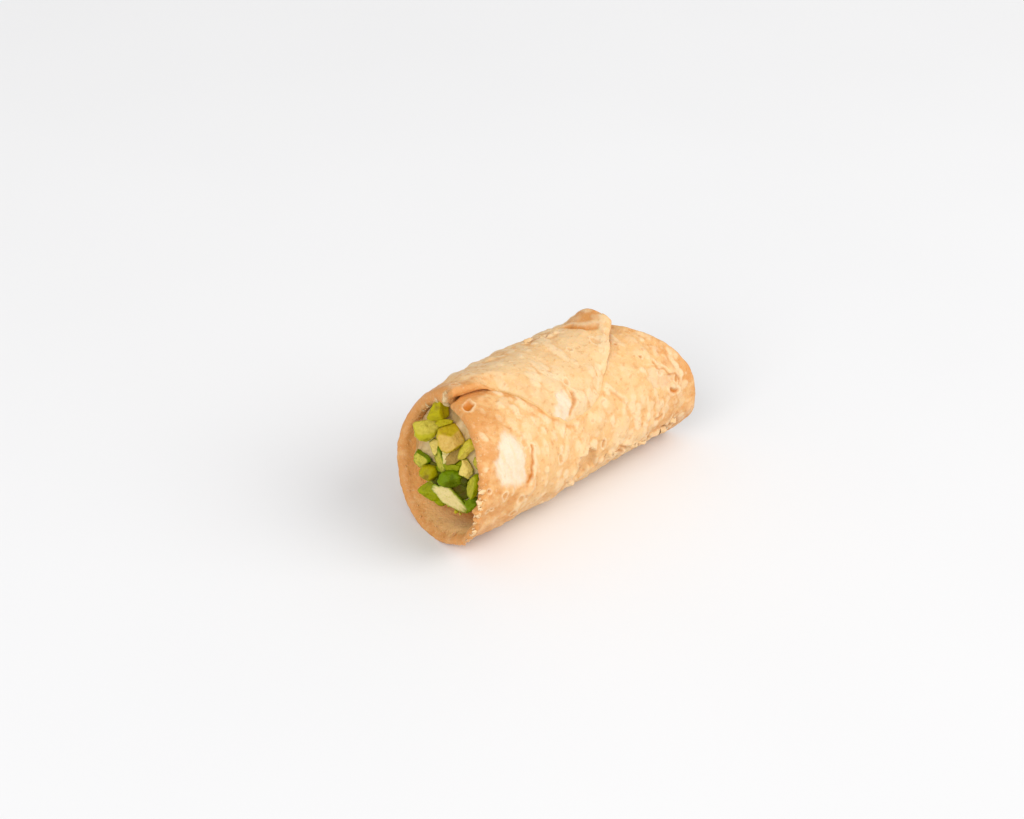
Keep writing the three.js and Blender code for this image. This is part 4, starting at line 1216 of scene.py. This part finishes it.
def chopped(shape, outline, thick, cuts, seed):
    """The points of one piece as drawn (right, up, towards the viewer), and how much of each is flesh."""
    ways, distances = distances_round(outline)
    across = np.interp(np.arctan2(shape[:, 1], shape[:, 0]), ways, distances, period=2 * np.pi)
    level = np.hypot(shape[:, 0], shape[:, 1])
    body = ((level / across) ** BLOCKY + (np.abs(shape[:, 2]) / thick) ** BLOCKY) ** (1 / BLOCKY)
    walls, bare_share = [1 / body], [0.0]
    for *way, at, bare_cut in cuts:
        way = np.array(way) / np.linalg.norm(way)
        walls.append(at / np.maximum(shape @ way, 0.02))
        bare_share.append(bare_cut)
    near = np.array(walls) ** -float(SHARP)
    reach = near.sum(0) ** (-1 / SHARP)
    flesh = (near * np.array(bare_share)[:, None]).sum(0) / near.sum(0)
    spot = shape * reach[:, None] + 10 * seed
    rough = sum(height * noise(*(spot / apart).T) for apart, height in ROUGH)
    curved = CURVED[1] * noise(*(spot / CURVED[0]).T)
    reach = reach + rough * (0.45 + 0.55 * flesh) + curved * (1 - 0.6 * flesh)
    return shape * reach[:, None], flesh


def kernel_material(kind, colours):
    material, places = start_material(
        f"pistachio_{kind}", Roughness=0.42, Specular_IOR_Level=0.1, Subsurface_Weight=0.1,
        Subsurface_Radius=(0.8, 1.0, 0.3), Subsurface_Scale=0.001,
    )
    patches = grain(places, 2.6, 3).between(0.52, 0.66)
    fibres = grain(places, 0.5, 3, (0.5, 1, 1))
    skin = (patches * 0.75).mix(linear(colours["skin"]), linear(colours["patch"]))
    cut = (fibres.between(0.42, 0.72) * 0.4).mix(linear(colours["flesh"]), linear(colours["patch"]))
    colour = (places.read("flesh") + 0.5 * (fibres - 0.5)).between(0.0, 1.0).mix(skin, cut)
    finish_material(places, colour, fibres, 0.00025, 0.34 + 0.2 * fibres)
    return material


# As seen from outside the mouth (right, up, out): the drawing's right, its up and the way to the viewer.
a, b = math.radians(CAMERA_ROUND), math.radians(CAMERA_DOWN)
drawn_right = np.array([math.sin(a), 0, -math.cos(a)])
to_viewer = np.array([math.cos(b) * math.cos(a), math.sin(b), math.cos(b) * math.sin(a)])
drawn_up = np.cross(to_viewer, drawn_right)
as_drawn = np.stack([drawn_right, drawn_up, to_viewer])


def behind_the_drawing(outline, out):
    """The place y, z across the near mouth where a drawn piece lies on the cream."""
    x, y = DRAWN * (np.mean(outline, 0) - MIDDLE)
    depth = 0
    for _ in range(8):  # each round comes closer to where the line of sight meets the cream
        right, up, far_out = x * drawn_right - y * drawn_up + depth * to_viewer
        depth += (out - float(cream_face(NEAR_END, -right, up)) - far_out) / to_viewer[2]
    return -right, up


large_ways, large_faces = ball(5)
small_ways, small_faces = ball(3)
gathered = {kind: {"points": [], "faces": [], "flesh": [], "count": 0} for kind in KERNEL_COLOURS}


def press_in(end, around, scale, y, z, out, kind, points, flesh, faces):
    """Turns one piece round the mouth, presses it into the cream and keeps it with its kind."""
    seen_from_outside = Matrix(((0, 0, end["out"]), (end["out"], 0, 0), (0, 1, 0)))
    a = math.radians(around)
    turned = np.array(seen_from_outside @ Matrix.Rotation(end["out"] * a, 3, "Z"))
    y, z = scale * (y * math.cos(a) - z * math.sin(a)), scale * (y * math.sin(a) + z * math.cos(a))
    s = float(cream_face(end, y, z)) + end["out"] * out * scale
    middle = np.array([s, y, float(base_radius(s)) - FLAT + z]) - ORIGIN
    of_kind = gathered[kind]
    of_kind["points"].append(points @ as_drawn @ turned.T * scale + middle)
    of_kind["faces"].append(faces + of_kind["count"])
    of_kind["flesh"].append(flesh)
    of_kind["count"] += len(points)


for end, around, scale in ((NEAR_END, 0, 1), (FAR_END, FAR_TURN, FAR_SCALE)):
    for n, (kind, out, thick, outline, cuts) in enumerate(PIECES):
        points, flesh = chopped(large_ways, outline, thick, cuts, n + 1 + 100 * (end is FAR_END))
        y, z = behind_the_drawing(outline, out)
        press_in(end, around, scale, y, z, out, kind, points, flesh, large_faces)
    pick = np.random.default_rng(5)
    for bits in BITS:
        for n in range(bits["count"]):
            r, a = bits["reach"] * math.sqrt(pick.random()), pick.uniform(0, 2 * math.pi)
            y, z = r * math.cos(a), r * math.sin(a) + bits["low"] / 2
            size = pick.uniform(*bits["size"]) * pick.uniform(0.6, 1.2, 3)
            radii = [size[k % 2] / DRAWN for k in range(6)]
            outline = [(radii[k] * math.cos(k), radii[k] * math.sin(k)) for k in range(6)]
            cuts = [(*pick.normal(size=3), 0.6 * size[2], pick.uniform(0, 1)) for _ in range(3)]
            kind = str(pick.choice(BIT_KINDS))
            points, flesh = chopped(small_ways, outline, size[2], cuts, 40 + n)
            press_in(end, around, scale, y, z, bits["out"], kind, points, flesh, small_faces)
for kind, colours in KERNEL_COLOURS.items():
    of_kind = gathered[kind]
    nuts = make_piece(
        f"pistachio_{kind}", np.concatenate(of_kind["points"]), np.concatenate(of_kind["faces"]).tolist(),
        kernel_material(kind, colours), {"flesh": np.concatenate(of_kind["flesh"])},
    )
    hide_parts("filling")
